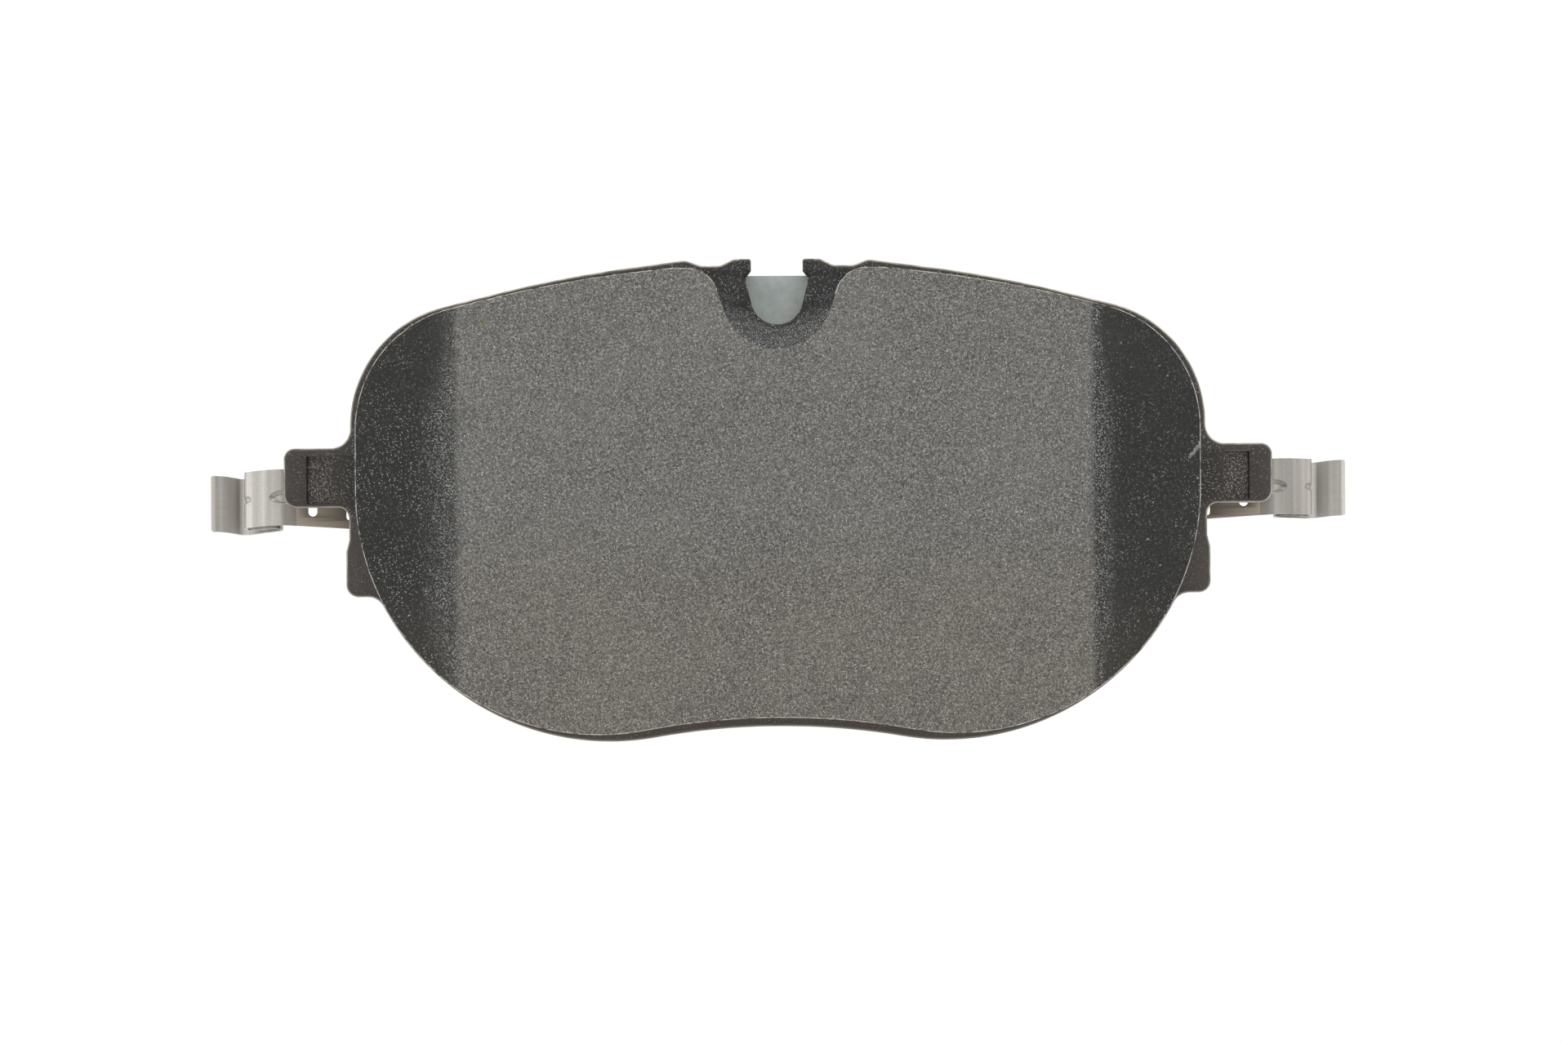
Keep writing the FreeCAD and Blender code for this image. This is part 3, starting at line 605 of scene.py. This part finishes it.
def coat_shader(name, low, high, strength, roughness, flat=False, brown=0.65, patch=900):
    """Black powder coat with fine texture and pale dust specks, browner towards the ears."""
    s = Shader(name)
    x, y = s.math("ABSOLUTE", s.axis("X")), s.axis("Y")
    base = s.ramp(s.noise(patch, 4, 0.6), (0.3, low), (0.7, high))
    ears = s.math("MAXIMUM", s.span(x, 0.060, 0.074), s.span(y, -0.012, -0.022))
    tan_brown = s.mix(s.span(y, -0.002, -0.006), (0.043, 0.034, 0.027), (0.068, 0.050, 0.038))
    base = s.mix(s.math("MULTIPLY", ears, brown), base, tan_brown)
    # browner towards the bottom edge; on the glint material this also dims the painted glint there,
    # which the low lamp would brighten
    base = s.mix(s.span(y, -0.012, -0.020, 0.0, 0.7), base, (0.062, 0.046, 0.033))
    # the specks lie thickest round the notch and thin out on the lands and the ears' ends
    dots = s.flecks(0.16, 0.40, 0.45, 1.9, (25, 70, 115, 160), flat=flat)
    thick = s.span(s.noise(260, 3, 0.6), 0.34, 0.60, 0.25, 1.0)
    thick = s.math("MULTIPLY", thick, s.span(y, -0.0045, -0.0015, 0.35, 1.0))
    notch = s.math("MULTIPLY", s.span(x, 0.0135, 0.0105), s.span(y, 0.0385, 0.0345))
    notch = s.math("MULTIPLY", notch, s.span(y, 0.027, 0.029))
    thick = s.math("MAXIMUM", thick, s.math("MULTIPLY", notch, 1.15))
    ends = s.span(x, 0.073, 0.079, 1.0, 0.40)
    dots = s.math("MULTIPLY", dots, s.math("MULTIPLY", thick, ends))
    base = s.mix(s.math("MULTIPLY", dots, strength), base, (0.50, 0.49, 0.46))
    rough = s.span(s.noise(900, 3, 0.6), 0.3, 0.7, roughness - 0.06, roughness + 0.08)
    s.set(base_color=base, specular=0.5, roughness=rough)
    s.bump(s.math("MULTIPLY_ADD", dots, 0.5, s.noise(1500, 3, 0.5)), 0.00004, 0.7)
    return s.material


def coined_shader():
    """The floor of the half shear: coat over a rough coined surface, its glints painted as pale grains.
    """
    s = Shader("coined_recess")
    base = s.ramp(s.noise(2400, 3, 0.6), (0.3, (0.018, 0.013, 0.011)), (0.7, (0.044, 0.034, 0.029)))
    painted_glint_grains = s.flecks(0.14, 0.27, 0.7, 2.5, (20, 70, 112, 155), flat=True)
    base = s.mix(s.math("MULTIPLY", painted_glint_grains, 0.78), base, (0.60, 0.55, 0.50))
    s.set(base_color=base, specular=0.55, roughness=0.42)
    s.bump(s.math("ADD", painted_glint_grains, s.noise(2600, 2, 0.5)), 0.00005, 0.8)
    return s.material


def steel_shader():
    """Stainless strip, rolled along its length, with painted light and shade in broad bands across it,
    and painted shade on the seat behind the ear, which is a flat brownish grey there.
    """
    s = Shader("spring_steel")
    grain = s.noise(1.0, 4, 0.6, vector=s.mapped((3.8, 0.19, 0.19)))
    bands = s.noise(1.0, 2, 0.5, vector=s.mapped((1.9, 70.0, 70.0)))
    tone = s.math("ADD", s.math("MULTIPLY", grain, 0.25), s.math("MULTIPLY", bands, 0.75))
    base = s.ramp(
        tone,
        (0.36, (0.29, 0.268, 0.238)),
        (0.5, (0.35, 0.332, 0.305)),
        (0.62, (0.42, 0.407, 0.382)),
    )
    # painted light and shade: broad light and dark bands across each strip stand in for reflections
    # where it waves slightly, darker over most of the right strip and brightest on the outer layer
    # beyond the fold; 1 leaves the tone
    places = (0.0, 0.14, 0.30, 0.42, 0.53, 0.68, 1.0)
    for start, end, shades in (
        (-0.080, -0.096, (1.0, 0.86, 1.0, 0.90, 1.22, 1.40, 1.15)),
        (0.080, 0.096, (1.0, 0.70, 0.60, 0.72, 0.98, 1.62, 1.35)),
    ):
        stops = [(place, (shade / 2,) * 3) for place, shade in zip(places, shades)]
        painted_light_band = s.ramp(s.span(s.axis("X"), start, end), *stops)
        painted_light_band = s.mix(1.0, painted_light_band, (2.0, 2.0, 2.0), "MULTIPLY")
        base = s.mix(1.0, base, painted_light_band, "MULTIPLY")
    out = s.math("ABSOLUTE", s.axis("X"))
    # painted shade: the seat behind the ear turns a flat brownish grey with little metal, standing in
    # for the steel's dim reflection in the ear's shade
    seat = s.span(out, 0.0825, 0.0795)
    base = s.mix(seat, base, (0.33, 0.28, 0.22))
    rough = s.math("MULTIPLY_ADD", seat, 0.20, s.span(tone, 0.35, 0.65, 0.38, 0.30))
    metal = s.math("MULTIPLY_ADD", seat, -0.85, 1.0)
    # the outer layer beyond the fold keeps less metal, so the painted light of its bands adds to its
    # reflection
    metal = s.math("MULTIPLY", metal, s.span(out, 0.0885, 0.0905, 1.0, 0.6))
    s.set(base_color=base, metallic=metal, roughness=rough)
    s.bump(s.math("ADD", grain, s.math("MULTIPLY", bands, 0.8)), 0.000008, 0.5)
    return s.material


def plain_shader(name, low, high, scale, roughness, relief=0.00004, metallic=0.0, specks=0.0):
    """A matte sheet or layer with fine mottling."""
    s = Shader(name)
    base = s.ramp(s.noise(scale, 5, 0.62), (0.3, low), (0.7, high))
    base = s.mix(s.span(s.noise(90, 3, 0.5), 0.35, 0.7, 0.0, 0.3), base, low)
    if specks:
        dots = s.flecks(0.2, 1.6, specks, 1.3, (40,))
        base = s.mix(s.math("MULTIPLY", dots, 0.6), base, tuple(0.45 * v for v in low))
    s.set(base_color=base, roughness=roughness, metallic=metallic)
    s.bump(s.noise(scale * 1.7, 3, 0.6), relief, 0.7)
    return s.material


friction = friction_shader()
wall = wall_shader("lining_wall", (0.020, 0.0195, 0.0185), (0.30, 0.295, 0.28), 0.7)
ramp_wall = wall_shader(
    "cutout_wall", (0.037, 0.037, 0.0365), (0.80, 0.80, 0.78), 0.21, tall=3.0, fading=True, size=0.16
)
rim = rim_shader()
coat = coat_shader("powder_coat", (0.013, 0.0125, 0.012), (0.028, 0.0265, 0.025), 0.85, 0.40, flat=True)
coat_edge = coat_shader("powder_coat_edge", (0.030, 0.022, 0.014), (0.075, 0.056, 0.034), 0.35, 0.34)
# pale cream die-roll colour: a painted glint along the plate's front edge
coat_glint = coat_shader(
    "powder_coat_glint", (0.10, 0.084, 0.058), (0.52, 0.47, 0.37), 0.2, 0.28, brown=0.2, patch=330
)
coined = coined_shader()
steel = steel_shader()
glue = plain_shader("bonding_adhesive", (0.20, 0.165, 0.11), (0.42, 0.36, 0.26), 700, 0.6)
under = plain_shader(
    "underlayer_compound", (0.016, 0.0155, 0.015), (0.040, 0.038, 0.036), 900, 0.8, 0.00009
)
# partly the damping layer's own pale greenish grey, partly painted light: brightened past its own colour
# where it shows in the notch's shade
shim_face = plain_shader(
    "shim_damping", (0.53, 0.59, 0.565), (0.75, 0.815, 0.78), 420, 0.62, 0.00002, specks=0.3
)
shim_steel = plain_shader(
    "shim_steel", (0.36, 0.33, 0.28), (0.52, 0.49, 0.44), 900, 0.4, 0.00001, metallic=1.0
)
shim_rubber = plain_shader(
    "shim_rubber", (0.030, 0.031, 0.032), (0.052, 0.053, 0.055), 520, 0.66, 0.00003
)


# ------------------------------------------------------------------ backing plate

COATED, EDGE, COINED, GLINT = range(4)  # the plate's material slots


def add_half_shear(bm, side):
    """The recess on the ear, with its boss behind and the two lips staked over the spring there.
    Returns the loops where the recess and the boss meet the plate's faces."""
    back, front = PLATE_BACK, PLATE_FRONT
    pocket = rounded(box_corners(side, HALF_SHEAR_X, HALF_SHEAR_Y, 0.45), 15, 0.5)
    n = normals_2d(pocket)
    lip = ring(bm, pocket, front, -0.08, n)
    rim_loop = ring(bm, pocket, front - 0.08, 0.0, n)
    foot_loop = ring(bm, pocket, front - HALF_SHEAR + 0.08, 0.05, n)
    floor_loop = ring(bm, pocket, front - HALF_SHEAR, 0.16, n)
    bridge(bm, rim_loop, lip, EDGE)
    bridge(bm, foot_loop, rim_loop, COATED)
    bridge(bm, floor_loop, foot_loop, COATED)
    cap(bm, [floor_loop], COINED)
    # a painted glint along the recess's upper lip
    for face in {f for v in lip for f in v.link_faces}:
        if face.calc_center_median().y > (HALF_SHEAR_Y[1] - 0.03) * MM:
            face.material_index = GLINT
    boss_root = ring(bm, pocket, back, -0.04, n)
    boss_side = ring(bm, pocket, back - BOSS + 0.1, 0.03, n)
    boss_end = ring(bm, pocket, back - BOSS, 0.14, n)
    bridge(bm, boss_side, boss_root, EDGE)
    bridge(bm, boss_end, boss_side, EDGE)
    cap(bm, [boss_end], EDGE, up=False)
    for ends in STAKED_X:
        staked = rounded(box_corners(side, ends, STAKED_Y, 0.15), 20, 0.5)
        top = ring(bm, staked, back - 0.56)
        low = ring(bm, staked, back - 0.86)
        bridge(bm, low, top, EDGE)
        cap(bm, [low], EDGE, up=False)
        cap(bm, [top], EDGE)
    return lip, boss_root


def box_corners(side, x_range, y_range, radius):
    """The corners of a rounded box, anticlockwise, on the given side of X = 0."""
    x0, x1 = sorted(side * x for x in x_range)
    y0, y1 = y_range
    return [(x0, y0, radius), (x1, y0, radius), (x1, y1, radius), (x0, y1, radius)]


def build_plate():
    """The stamped plate, with its notch, its ears and the half shears on them."""
    bm = bmesh.new()
    corners = plate_outline()
    counts = divisions(corners, 4.0, 0.8)
    n = normals_2d(walk(corners, counts))

    def torn(x, y):
        return 0.03 * ripple(x, y, 0.9, 3.1)

    back, front = PLATE_BACK, PLATE_FRONT
    # fracture zone at the back, sheared zone, die roll at the front, as (inset, height, wobble,
    # slot of the faces below)
    profile = [
        (0.22, back, None, COATED),
        (0.10, back + 0.10, torn, EDGE),
        (0.10, back + 1.9, torn, EDGE),
        (0.02, back + 2.3, None, EDGE),
        (0.00, front - 0.80, None, EDGE),
        # the die roll's outer faces take the painted glint
        (0.04, front - 0.55, None, GLINT),
        (0.14, front - 0.30, None, GLINT),
        (0.25, front - 0.13, None, GLINT),
        (0.34, front - 0.04, None, EDGE),
        (0.42, front, None, EDGE),
    ]
    rings = [
        ring(bm, walk(moved_in(corners, distance), counts), z, 0.0, n, wobble)
        for distance, z, wobble, _ in profile
    ]
    for low, high, (_, _, _, slot) in zip(rings, rings[1:], profile[1:]):
        bridge(bm, low, high, slot)
    # no painted glint and no edge colour on the die roll inside the notch
    for face in bm.faces:
        middle = face.calc_center_median() / MM
        if abs(middle.x) < 6.0 and middle.y > 28.0 and middle.z > front - 0.5:
            face.material_index = COATED
    front_loops, back_loops = [rings[-1]], [rings[0]]
    for side in (-1, 1):
        lip, boss_root = add_half_shear(bm, side)
        front_loops.append(lip)
        back_loops.append(boss_root)
    cap(bm, front_loops, COATED)
    cap(bm, back_loops, COATED, up=False)
    materials = [coat, coat_edge, coined, coat_glint]
    return finish_mesh(bm, "plate_body", materials, "pad", ["backing_plate"])


# ------------------------------------------------------------------ moulded layers

def build_lining():
    """The lining from the underlayer up, with its chamfers, its bruised edge and its cut-out."""
    face_slot, wall_slot, rim_slot, ramp_slot = range(4)
    bm = bmesh.new()
    top_outline = rounded(lining_outline())
    low_outline = rounded(lining_outline(low=True), like=lining_outline())
    n_top, n_low = normals_2d(top_outline), normals_2d(low_outline)

    def drop(x):
        return max(0.0, abs(x) - RIDGE) * CHAMFER

    def bitten(x, y):
        chip = max(0.0, ripple(x, y, 1.7, 8.0) - 0.45) * 0.55
        return 0.035 * ripple(x, y, 0.8, 5.0) - chip

    def pressed(x, y):
        return 0.02 * ripple(x, y, 2.5, 1.0)

    def between(share):
        return [
            (a[0] + (b[0] - a[0]) * share, a[1] + (b[1] - a[1]) * share)
            for a, b in zip(low_outline, top_outline)
        ]

    def add_level(share, outline, inset, normals):
        def height(x, y):
            return UNDER_FRONT + (RUBBING_FACE - UNDER_FRONT - drop(x)) * share

        return ring(bm, outline, height, inset, normals, pressed)

    def add_rim(depth, inset):
        return ring(bm, top_outline, lambda x, y: RUBBING_FACE - drop(x) - depth, inset, n_top, bitten)

    rings = [add_level(0.0, low_outline, 0.02, n_low)]
    rings += [add_level(k / 6, between(k / 6), 0.0, n_top) for k in range(1, 6)]
    rim_start = len(rings)
    rings += [add_rim(0.07, 0.0), add_rim(0.02, 0.05), add_rim(0.0, 0.14)]
    for level, (low, high) in enumerate(zip(rings, rings[1:])):
        for i in range(len(low)):
            j = (i + 1) % len(low)
            face = bm.faces.new((low[i], low[j], high[j], high[i]))
            x, y = low[i].co.x / MM, low[i].co.y / MM
            if abs(x) < 9.7 and 20.0 < y < 34.4:
                face.material_index = ramp_slot
            else:
                face.material_index = wall_slot if level < rim_start else rim_slot

    # the top: filled flat, cut along the ridges, then laid on the chamfers
    top = rings[-1]
    true_heights = {v: v.co.z for v in top}
    for v in top:
        v.co.z = RUBBING_FACE * MM
    faces = cap(bm, [top], face_slot)
    for side in (-1, 1):
        for offset in (-0.6, 0.0, 0.6):
            cut = ((side * (RIDGE + offset) * MM, 0, 0), (1, 0, 0))
            around = {v for f in faces for v in f.verts} | {e for f in faces for e in f.edges}
            geometry = list(around | set(faces))
            bmesh.ops.bisect_plane(bm, geom=geometry, dist=1e-7, plane_co=cut[0], plane_no=cut[1])
            faces = [f for f in bm.faces if f.material_index == face_slot]
    for v in {v for f in faces for v in f.verts}:
        if v in true_heights:
            v.co.z = true_heights[v]
        else:
            x = abs(v.co.x) / MM
            soft = 0.02 if abs(x - RIDGE) < 0.01 else 0.0
            v.co.z = (RUBBING_FACE - drop(x) - soft) * MM
    materials = [friction, wall, rim, ramp_wall]
    nodes = ["friction_lining"]
    return finish_mesh(bm, "lining_block", materials, "pad", nodes, 40.0)


def build_layer(name, node, low, high, material, swell):
    """The adhesive or the underlayer, with a slightly uneven moulded edge."""
    bm = bmesh.new()
    points = rounded(lining_outline(low=True))
    n = normals_2d(points)

    def uneven(x, y):
        return swell * ripple(x, y, 3.0, 11.0 + low)

    levels = ((0.06, low), (0.0, (low + high) / 2), (0.06, high))
    rings = [ring(bm, points, z, distance, n, uneven) for distance, z in levels]
    for a, b in zip(rings, rings[1:]):
        bridge(bm, a, b, 0)
    cap(bm, [rings[0]], 0, up=False)
    cap(bm, [rings[-1]], 0)
    return finish_mesh(bm, name, [material], "pad", [node])


# ------------------------------------------------------------------ return springs

def nearest(path, point):
    """Index of the path's point that lies nearest to a point."""
    return min(range(len(path)), key=lambda i: math.dist(path[i], point))


def fold_path():
    """Side view of the folded arm as points (x, z) along the strip's middle, from the seat to the
    tip."""
    corners = [
        (SEAM, MIDDLE, 0),
        (ROOT + 1.75, MIDDLE, 6.0),
        (ROOT + 8.35, MIDDLE - 3.5, 0.8),
        (ROOT + 7.95, MIDDLE - 5.1, 0.8),
        (ROOT + 2.6, MIDDLE - 3.6, 1.05),
        (ROOT + 2.2, MIDDLE - 6.0, 1.05),
        (ROOT + 9.35, MIDDLE - 7.85, 1.2),
        (ROOT + 11.7, MIDDLE - 6.8, 1.2),
        (ROOT + 13.5, MIDDLE - 6.75, 0.9),
        (ROOT + 14.2, MIDDLE - 7.05, 0),
    ]
    closed = rounded(corners, 5.0, 0.25)
    return closed[: nearest(closed, corners[-1][:2]) + 1]


def add_fold(bm, side, y_at):
    """The arm's skin: a grid on each face of the strip, closed along its edges and at its tip."""
    path = fold_path()
    length = [0.0]
    for a, b in zip(path, path[1:]):
        length.append(length[-1] + math.dist(a, b))
    normals = []
    for i in range(len(path)):
        a, b = path[max(0, i - 1)], path[min(len(path) - 1, i + 1)]
        along = Vector((b[0] - a[0], b[1] - a[1])).normalized()
        normals.append(Vector((-along.y, along.x)))
    # stiffening gussets pressed into two bends: (index on the path, half length, half width, depth);
    # the first bend lies on the path's first points, before it drops behind the ear
    upper = [p for p in path if p[1] > -0.5]
    first_bend = min(range(len(upper)), key=lambda i: abs(upper[i][0] - 82.4))
    gussets = ((first_bend, 2.5, 1.0, 0.42), (nearest(path, (89.15, -2.5)), 1.1, 0.6, 0.22))

    def dent(i, share):
        across = (share - 0.5) * STRIP_WIDTH
        found = 0.0
        for centre, long, wide, deep in gussets:
            along = length[i] - length[centre]
            inside = 1 - (along / long) ** 2 - abs(across / wide) ** 1.6
            if inside > 0:
                found = max(found, deep * min(1.0, inside * 1.6) ** 0.7)
        return found

    def corner(i):
        """How far the rounded corners of the tip draw the edges in."""
        left = length[-1] - length[i]
        if left >= TIP_ROUNDING:
            return 0.0
        return 0.3 * (1 - math.sqrt(max(0.0, 1 - (1 - left / TIP_ROUNDING) ** 2)))

    columns = 44
    grids = {}
    for surface in (1, -1):
        grids[surface] = []
        for i, (x, z) in enumerate(path):
            row = []
            for k in range(columns + 1):
                share = k / columns
                out = surface * STRIP / 2 - dent(i, share)
                px, pz = x + normals[i].x * out, z + normals[i].y * out
                y = y_at(px, pz, share)
                y += corner(i) * (1 - 2 * share)
                row.append(bm.verts.new((side * px * MM, y * MM, pz * MM)))
            grids[surface].append(row)

    def add_quad(quad, forward):
        bm.faces.new(quad if forward > 0 else quad[::-1])

    for surface, grid in grids.items():
        for a, b in zip(grid, grid[1:]):
            for k in range(columns):
                add_quad((a[k], b[k], b[k + 1], a[k + 1]), surface * side)
    up, down = grids[1], grids[-1]
    for i in range(len(path) - 1):
        for k, flip in ((0, 1), (columns, -1)):
            add_quad((up[i][k], down[i][k], down[i + 1][k], up[i + 1][k]), flip * side)
    for k in range(columns):
        add_quad((up[-1][k], down[-1][k], down[-1][k + 1], up[-1][k + 1]), side)


def add_seat(bm, side, raised, y_at):
    """The flat seat behind the ear, with its slot, relief and window."""

    def edge(x, share):
        return y_at(x, MIDDLE, share)

    slot_left, slot_right = 73.8, 78.35
    slot_top, relief_low = -0.53, -1.93 + raised
    relief = slot_right - 1.5
    outline = [
        (SEAT_END, edge(SEAT_END, 0), 1.0),
        (SEAM, edge(SEAM, 0), 0),
        (SEAM, edge(SEAM, 1), 0),
        (slot_right, edge(slot_right, 1), 0.4),
        (slot_right, relief_low, 0.74),
        (relief, relief_low, 0.74),
        (relief, slot_top, 0.15),
        (slot_left, slot_top, 0.4),
        (slot_left, edge(slot_left, 1), 0.4),
        (SEAT_END, edge(SEAT_END, 1), 1.0),
    ]
    window = [(66.4, -3.0, 0.5), (72.0, -3.0, 0.5), (72.0, 3.6, 0.5), (66.4, 3.6, 0.5)]

    def placed(corners):
        corners = [(side * x, y, r) for x, y, r in corners]
        return rounded(corners if side > 0 else corners[::-1], 10, 0.6)

    outer, inner = placed(outline), placed(window)
    n_outer, n_inner = normals_2d(outer), normals_2d(inner)
    levels = []
    for z, distance in ((0.0, 0.05), (0.05, 0.0), (STRIP - 0.05, 0.0), (STRIP, 0.05)):
        height = PLATE_BACK - STRIP + z
        outer_ring = ring(bm, outer, height, distance, n_outer)
        levels.append((outer_ring, ring(bm, inner, height, -distance, n_inner)))
    for low, high in zip(levels, levels[1:]):
        bridge(bm, low[0], high[0], 0)
        bridge(bm, high[1], low[1], 0)
    cap(bm, levels[-1], 0)
    cap(bm, levels[0], 0, up=False)


def build_spring(side_name, side, raised, lean):
    """One strip from the seat to the tip, as one skin. raised is its height in mm over the nominal one,
    and lean is its tilt in degrees as it goes deeper."""
    rise = tan(STRIP_RISE)
    lean = tan(lean)

    def y_at(x, z, share):
        """Y across the strip, with share 0 at its lower edge and 1 at its upper one."""
        depth = (z - MIDDLE) * (0.55 + 0.45 * min(1.0, max(0.0, (x - 82.0) / 6.5)))
        return raised - 3.25 + rise * (x - 83.5) + lean * depth + share * STRIP_WIDTH

    bm = bmesh.new()
    add_fold(bm, side, y_at)
    add_seat(bm, side, raised, y_at)
    name = f"spring_strip_{side_name}"
    nodes = [f"spring_seat_{side_name}", f"spring_arm_{side_name}"]
    piece = finish_mesh(bm, name, [steel], None, nodes, 50.0, 0.99999)
    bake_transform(piece)
    return piece


# ------------------------------------------------------------------ the pad

build_plate()
build_lining()
build_layer("glue_film", "bonding_adhesive", PLATE_FRONT, GLUE_FRONT, glue, 0.10)
build_layer("underlayer_block", "underlayer", GLUE_FRONT, UNDER_FRONT, under, 0.04)
build_spring("left", -1, -0.42, 15.0)
build_spring("right", 1, 0.42, 8.5)

# the shim's three layers keep the shapes of their nodes
for node, material in (
    ("shim_damping_layer", shim_face),
    ("shim_steel_core", shim_steel),
    ("shim_rubber_coat", shim_rubber),
):
    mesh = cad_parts[node].data
    mesh.materials.clear()
    mesh.materials.append(material)


# ------------------------------------------------------------------ floor, light and camera

def build_floor():
    """A glowing white sheet, like a light table."""
    s = Shader("floor")
    s.set(base_color=(0.0, 0.0, 0.0, 1.0), roughness=1.0, specular=0.0)
    s.surface.inputs["Emission Color"].default_value = (1, 1, 1, 1)
    s.surface.inputs["Emission Strength"].default_value = 1.03
    bm = bmesh.new()
    half = FLOOR_SIZE / 2
    corners = [(-half, -half), (half, -half), (half, half), (-half, half)]
    bm.faces.new([bm.verts.new((x, y, FLOOR_HEIGHT)) for x, y in corners])
    mesh = bpy.data.meshes.new("floor")
    bm.to_mesh(mesh)
    bm.free()
    mesh.materials.append(s.material)
    floor = bpy.data.objects.new("floor", mesh)
    bpy.context.scene.collection.objects.link(floor)


def add_panel(name, place, size, power, tint=(1, 1, 1)):
    """A rectangular lamp that faces the origin."""
    light = bpy.data.lights.new(name, "AREA")
    light.shape = "RECTANGLE"
    light.size, light.size_y = size
    light.energy = power
    light.color = tint
    lamp = bpy.data.objects.new(name, light)
    lamp.location = place
    lamp.rotation_euler = (-Vector(place)).to_track_quat("-Z", "Y").to_euler()
    bpy.context.scene.collection.objects.link(lamp)


build_floor()
add_panel("panel_left", (-1.25, 0.15, 0.7), (1.5, 1.2), 6.2)
add_panel("panel_right", (1.25, 0.15, 0.7), (1.5, 1.2), 6.2)
add_panel("panel_top", (0.0, 1.0, 0.75), (1.4, 0.7), 5.0, (1.0, 0.98, 0.95))
add_panel("panel_low", (0.0, -1.2, 0.6), (1.4, 0.7), 4.0, (1.0, 0.97, 0.93))

world = bpy.data.worlds.new("studio")
world.use_nodes = True
world.node_tree.nodes["Background"].inputs[0].default_value = (0.97, 0.985, 1.0, 1.0)
world.node_tree.nodes["Background"].inputs[1].default_value = 0.64
bpy.context.scene.world = world
bpy.context.scene.view_settings.view_transform = "Standard"

DISTANCE = 1250.0  # mm, from the plate's front face
WIDTH = 260.2  # mm, seen across the picture at that face
SENSOR = 36.0
camera = bpy.data.cameras.new("camera")
camera.sensor_width = SENSOR
camera.lens = SENSOR * DISTANCE / WIDTH
camera.clip_start = 0.01
camera.clip_end = 20.0
viewer = bpy.data.objects.new("camera", camera)
viewer.location = (0.96 * MM, -3.80 * MM, (PLATE_FRONT + DISTANCE) * MM)
viewer.rotation_euler = (0.0, 0.0, math.radians(-0.336))
bpy.context.scene.collection.objects.link(viewer)
bpy.context.scene.camera = viewer
